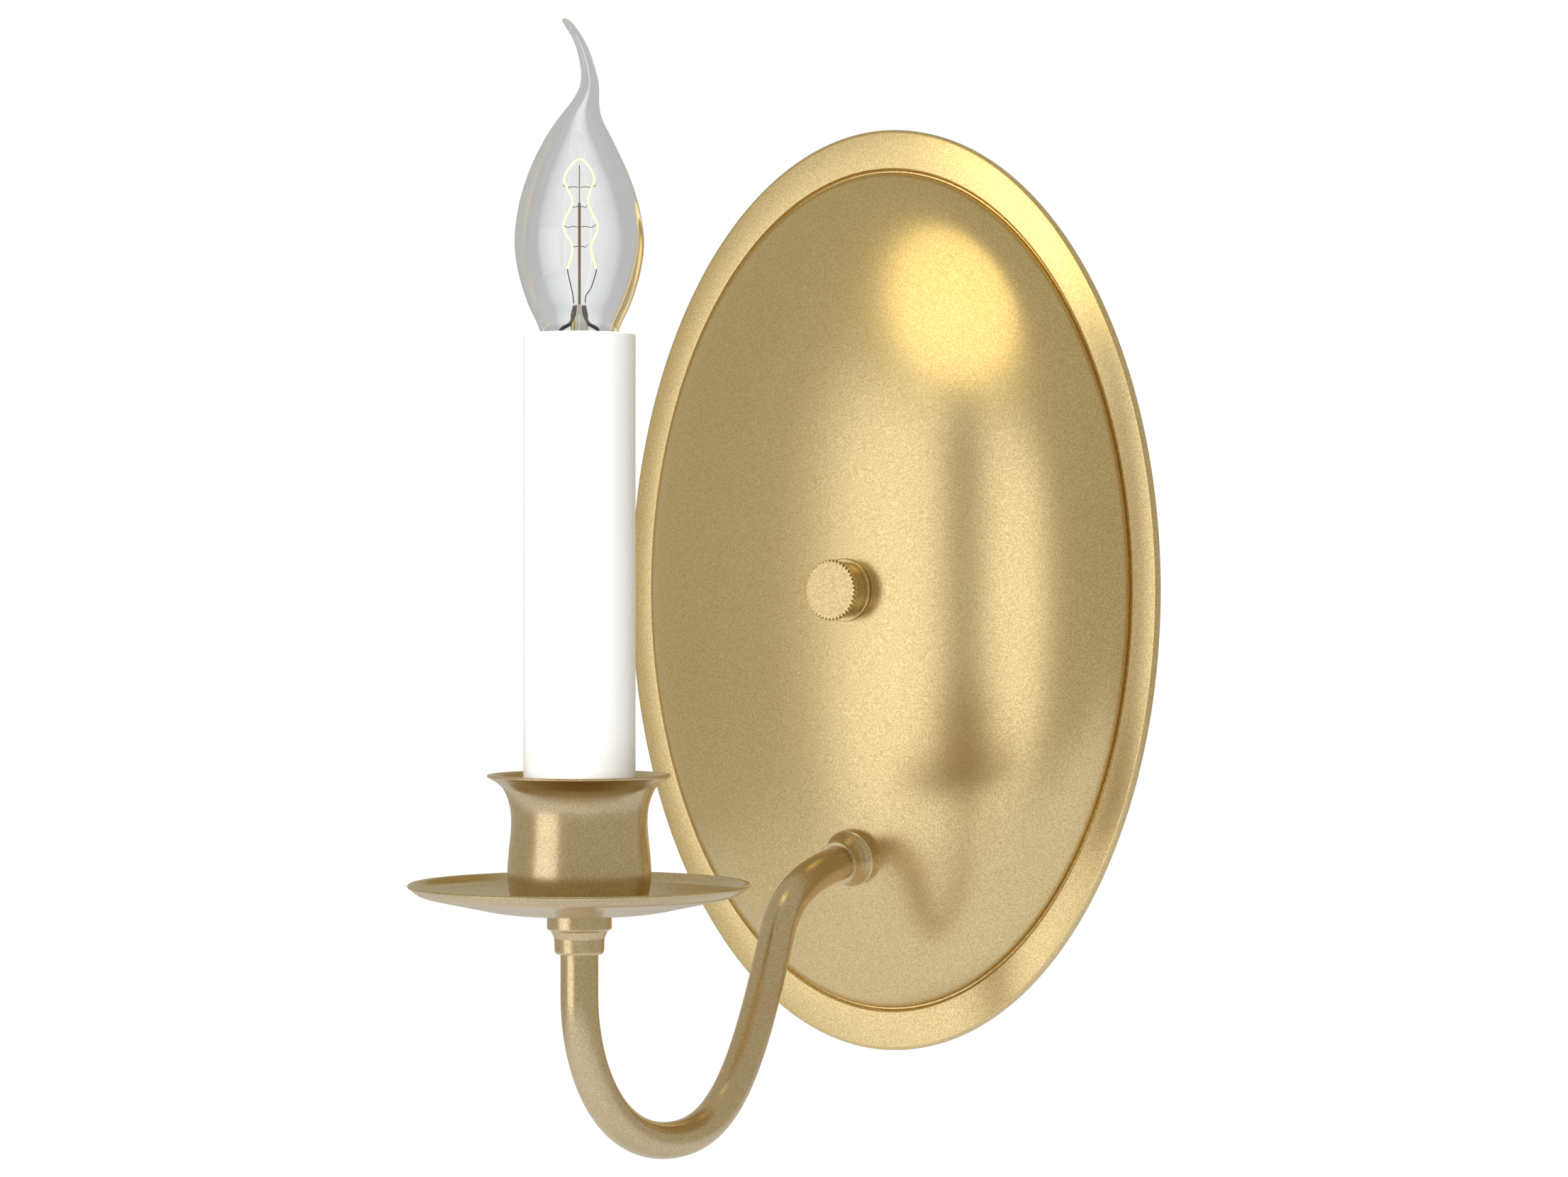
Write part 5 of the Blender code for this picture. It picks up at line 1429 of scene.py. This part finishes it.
    def build_filament(self) -> None:
        """Bend the hourglass filament, its two lead wires and the fine support wires."""
        loop = [(-2.3, 63.6), (-1.4, 67.8), (-3.2, 72.1), (-1.4, 76.9), (-3.0, 81.4), (0.1, 85.2),
                (2.9, 81.6), (1.7, 76.9), (3.6, 71.9), (2.3, 67.8), (3.3, 63.6)]
        coil = self.shop.wire(self.route(loop, 10), 0.17 * MM, FILAMENT, 10)
        self.put("hourglass_filament", coil, FILAMENT, "bulb_filament")
        for sign, reach, node in ((-1, -2.3, "filament_lead_left"), (1, 3.3, "filament_lead_right")):
            bend = [(sign * 1.15, 56.8), (sign * 1.27, 58.3), (reach * 0.7, 59.9), (reach, 63.0), (reach, 63.8)]
            lead = self.shop.wire(self.route(bend, 8), 0.12 * MM, DARK_WIRE, 10)
            self.put(node + "_wire", lead, DARK_WIRE, node)
            low = [(sign * 0.8, 56.2), (sign * 1.0, 54.6), (sign * 1.9, 52.8), (sign * 3.6, 51.6), (sign * 4.1, 49.0),
                   (sign * 3.4, 40.0)]
            thick = self.shop.wire(self.route(low, 8), 0.38 * MM, DARK_WIRE, 10)
            self.put(node.replace("filament", "stem") + "_wire", thick, DARK_WIRE)
        hanger = smooth_curve([(0.2, 0, 0), (1.2, 0, 0.15), (2.4, 0, 0.0), (3.3, 0, 0.5)], 5)
        wire = self.shop.wire([Vector(p) * MM for p in hanger], 0.08 * MM, DARK_WIRE, 6)
        bearing = Vector((1, 0)).angle_signed(self.side.xy)
        mesh = run_tree(wire, self.shop.hangers, Levels=4, First=67.9 * MM, Step=3.9 * MM, Short=0.5,
                        Bearing=-bearing, Finish=DARK_WIRE.material())
        self.put("filament_support_wires", settle(mesh, 60), DARK_WIRE)


# ================================================================== wiring
@dataclass
class Wiring:
    """The socket's two leads, down through the arm, and their twist-on connectors."""

    shop: Shop
    plate: Backplate
    arm: Arm
    radius: float = 0.95 * MM
    spread: float = 1.2 * MM
    connector_x: float = 15 * MM
    connector_z: float = -40 * MM

    def route(self, side: int) -> list[Vector]:
        """Lay out one lead.

        Args:
            side: 1 or -1, the side of the arm's middle on which it lies.

        Returns:
            Its points, from the socket to its connector.
        """
        candle = Vector((0, -self.arm.reach, 0))
        shift = Vector((side * self.spread, 0, 0))
        start = candle + Vector((0, side * 5.4 * MM, 6.6 * MM))
        mouth = candle + Vector((0, 0, -50.3 * MM))
        fall = [start, start - Vector((0, 0, 6 * MM)),
                mouth + Vector((side * self.spread * 1.4, side * 3.6 * MM, 34 * MM)),
                mouth + Vector((side * self.spread * 1.2, side * 1.6 * MM, 14 * MM)),
                mouth + shift + Vector((0, 0, 3 * MM))]
        inside = [p + shift for p in reversed(self.arm.line((1, 5, 6, 7, 1)))]
        end = inside[-1]
        x, z = side * self.connector_x, self.connector_z
        y = self.plate.mid_hollow(x, z)
        behind = [end - self.arm.axis * 1.6 * MM + Vector((side * 0.6 * MM, 0, 0.6 * MM)),
                  Vector((side * 7.2 * MM, (end.y + y) / 2 + 1 * MM, z - 12.5 * MM)),
                  Vector((x, y, z - 7 * MM)), Vector((x, y, z + 3 * MM))]
        knots = fall + inside[1:-1] + [end] + behind
        return smooth_curve(knots, 5)

    def build(self) -> None:
        """Draw both leads and mould both connectors."""
        for side, colour, finish in ((1, "black", BLACK_PVC), (-1, "white", WHITE_PVC)):
            mesh = self.shop.wire(self.route(side), self.radius, finish, 14)
            self.shop.add(f"{colour}_socket_lead", mesh, finish, f"lead_{colour}")
            cap = outline((0, 18.0), (2.4, 18.0, 0.6), (3.4, 15.5, 0.8), (4.05, 5.2, 0.3), (4.6, 4.2, 0.3),
                          (4.6, 0.0, 0.3), (2.15, 0.0, 0.3), (2.15, 12.0), (0, 12.0), ring=False)
            shell = self.shop.ridged(turned(dense(cap, 0.6 * MM, ring=False), 96, Wrap.OPEN), ORANGE_NYLON, 0.0, 45,
                                     12.0, Depth=0.45, Low=4.6, High=17.2, Fade=0.8, Inner=2.5)
            x, z = side * self.connector_x, self.connector_z
            at = Matrix.Translation((x, self.plate.mid_hollow(x, z), z))
            self.shop.add(f"{colour}_twist_connector", shell, ORANGE_NYLON, f"wire_connector_{colour}", at=at)


# ================================================================== studio
@dataclass(frozen=True)
class SoftLight:
    """A soft light: its place, the point it faces, its width and height, and the radiance of its face."""

    name: str
    place: Point
    target: Point
    size: tuple[float, float]
    glow: float
    colour: str = "#FFFFFF"
    shape: str = "RECTANGLE"

    def hang(self) -> Object:
        """Hang the light.

        Returns:
            The light.
        """
        light = bpy.data.lights.new(self.name, "AREA")
        light.shape = self.shape
        light.size, light.size_y = self.size
        light.energy = self.glow * pi * self.size[0] * self.size[1]
        light.color = linear(self.colour)[:3]
        obj = link_new(self.name, light)
        obj.location = self.place
        obj.rotation_euler = (Vector(self.place) - Vector(self.target)).to_track_quat("Z", "Y").to_euler()
        obj.visible_camera = False
        obj.visible_transmission = False
        return obj


LEFT_SOFTBOX = SoftLight("left_softbox", (1.6 * sin(radians(-17.3)), -1.6 * cos(radians(-17.3)), -0.05),
                         (0.0, 0.0, -0.05), (1.086, 0.87), 1.01, "#FDFEFF")
TOP_PANEL = SoftLight("top_panel", (0.1, -0.5, 1.6), (0.0, 0.0, -0.4), (1.2, 1.2), 6.4)
CANDLE_FILL = SoftLight("candle_fill", (0.6, -1.6, 0.3), (0.0, -0.11, 0.0), (2.4, 1.2), 3.6)
LAMP_GLOW = SoftLight("lamp_glow", (0.0, -0.096, 0.109), (0.0, 0.0, 0.109), (0.086, 0.088), 1.05, "#FFEFB4",
                      "ELLIPSE")


def keep_to(light: Object, pieces: Sequence[Object]) -> None:
    """Let a light fall on some pieces only.

    Args:
        light: the light.
        pieces: the pieces that it falls on.
    """
    takes = bpy.data.collections.new(light.name + "_takes")
    for piece in pieces:
        takes.objects.link(piece)
    light.light_linking.receiver_collection = takes


@dataclass
class Studio:
    """Camera, floor, soft lights and the pale surroundings."""

    azimuth: float = radians(35.09)
    camera_place: Point = (0.47127, -0.71005, 0.000345)
    lens: float = 88.43
    sensor: float = 36.0
    floor_z: float = -0.35
    floor_half: float = 1.0
    lamp_centre: Point = (0.0, -0.10968, 0.072)
    panel_spread: float = radians(3.4)
    white_glow: float = 1.02                    # what the camera sees round the sconce
    room_colour: tuple[float, float, float, float] = (0.544, 0.512, 0.40, 1.0)      # what metal mirrors
    shade_glow: float = 0.3                     # what lights matt surfaces
    veil_glow: tuple[float, float] = (0.5, 0.9)             # what glass shows, far from and near its middle

    def build_camera(self) -> None:
        """Stand the camera level, in front and to the right of the sconce."""
        camera = bpy.data.cameras.new("camera")
        camera.lens = self.lens
        camera.sensor_width = self.sensor
        camera.clip_start = 0.01
        obj = link_new("camera", camera)
        obj.location = self.camera_place
        obj.rotation_euler = (pi / 2, 0, self.azimuth)
        bpy.context.scene.camera = obj

    def build_lights(self, white_piece: Object) -> None:
        """Hang the lights and set the surroundings.

        Args:
            white_piece: the candle's sleeve, which has a front light of its own.
        """
        LEFT_SOFTBOX.hang()
        TOP_PANEL.hang().visible_glossy = False
        keep_to(CANDLE_FILL.hang(), [white_piece])
        keep_to(LAMP_GLOW.hang(), [obj for obj in bpy.context.scene.objects if obj.type == "MESH"
                                   and "glass" not in obj.name and "envelope" not in obj.name])
        self.build_world()

    def build_world(self) -> None:
        """Surround the sconce with white, and let metal mirror a warm grey room instead."""
        world = bpy.data.worlds.new("pale_room")
        bpy.context.scene.world = world
        world.use_nodes = True
        tree = world.node_tree
        tree.nodes.clear()
        rays = add_node(tree, "ShaderNodeLightPath")
        where = add_node(tree, "ShaderNodeTexCoord")
        ahead = (Vector(self.lamp_centre) - Vector(self.camera_place)).normalized()
        facing = add_node(tree, "ShaderNodeVectorMath", {0: where.outputs["Generated"], 1: ahead},
                          {"operation": "DOT_PRODUCT"})
        panel = add_node(tree, "ShaderNodeMapRange",
                         {"Value": facing.outputs["Value"], "From Min": cos(self.panel_spread), "From Max": 1.0,
                          "To Min": self.veil_glow[0], "To Max": self.veil_glow[1]})
        both = add_node(tree, "ShaderNodeBackground", {"Color": self.room_colour, "Strength": 1.0})
        for flag, glow in (("Is Diffuse Ray", self.shade_glow), ("Is Transmission Ray", panel.outputs[0]),
                           ("Is Camera Ray", self.white_glow)):
            seen = add_node(tree, "ShaderNodeBackground", {"Color": (1, 1, 1, 1), "Strength": glow})
            both = add_node(tree, "ShaderNodeMixShader",
                            {0: rays.outputs[flag], 1: both.outputs[0], 2: seen.outputs[0]})
        add_node(tree, "ShaderNodeOutputWorld", {0: both.outputs[0]})

    def build_floor(self) -> None:
        """Lay the plain pale floor."""
        half = self.floor_half
        mesh = bpy.data.meshes.new("floor")
        mesh.from_pydata([(-half, -half, self.floor_z), (half, -half, self.floor_z), (half, half, self.floor_z),
                          (-half, half, self.floor_z)], [], [(0, 1, 2, 3)])
        floor = link_new("floor", mesh)
        paint = GrainedFinish("matt_floor_paint", "", "#F6F6F5", "#EFEFED", 0.0, 0.6, 3 * MM, 0.3, 0.02 * MM,
                              drift=400 * MM)
        mesh.materials.append(paint.material())


def main() -> None:
    """Build the camera, the sconce and the studio in order."""
    logging.basicConfig(level=logging.INFO, format="%(name)s: %(message)s")
    scene = bpy.context.scene
    scene.view_settings.view_transform = "Standard"
    studio = Studio()
    studio.build_camera()
    shop = Shop()
    plate = Backplate(shop)
    arm = Arm(shop, plate)
    candle_place = Matrix.Translation((0, -arm.reach, 0))
    plate.build()
    CentreFastener(shop, TO_FRONT).build()
    Crossbar(shop, plate).build()
    arm.build()
    PanAndCup(shop, candle_place).build()
    sleeve = Candle(shop, candle_place).build()
    Lamp(shop, candle_place).build()
    Wiring(shop, plate, arm).build()
    studio.build_floor()
    studio.build_lights(sleeve)


if __name__ == "__main__":
    main()
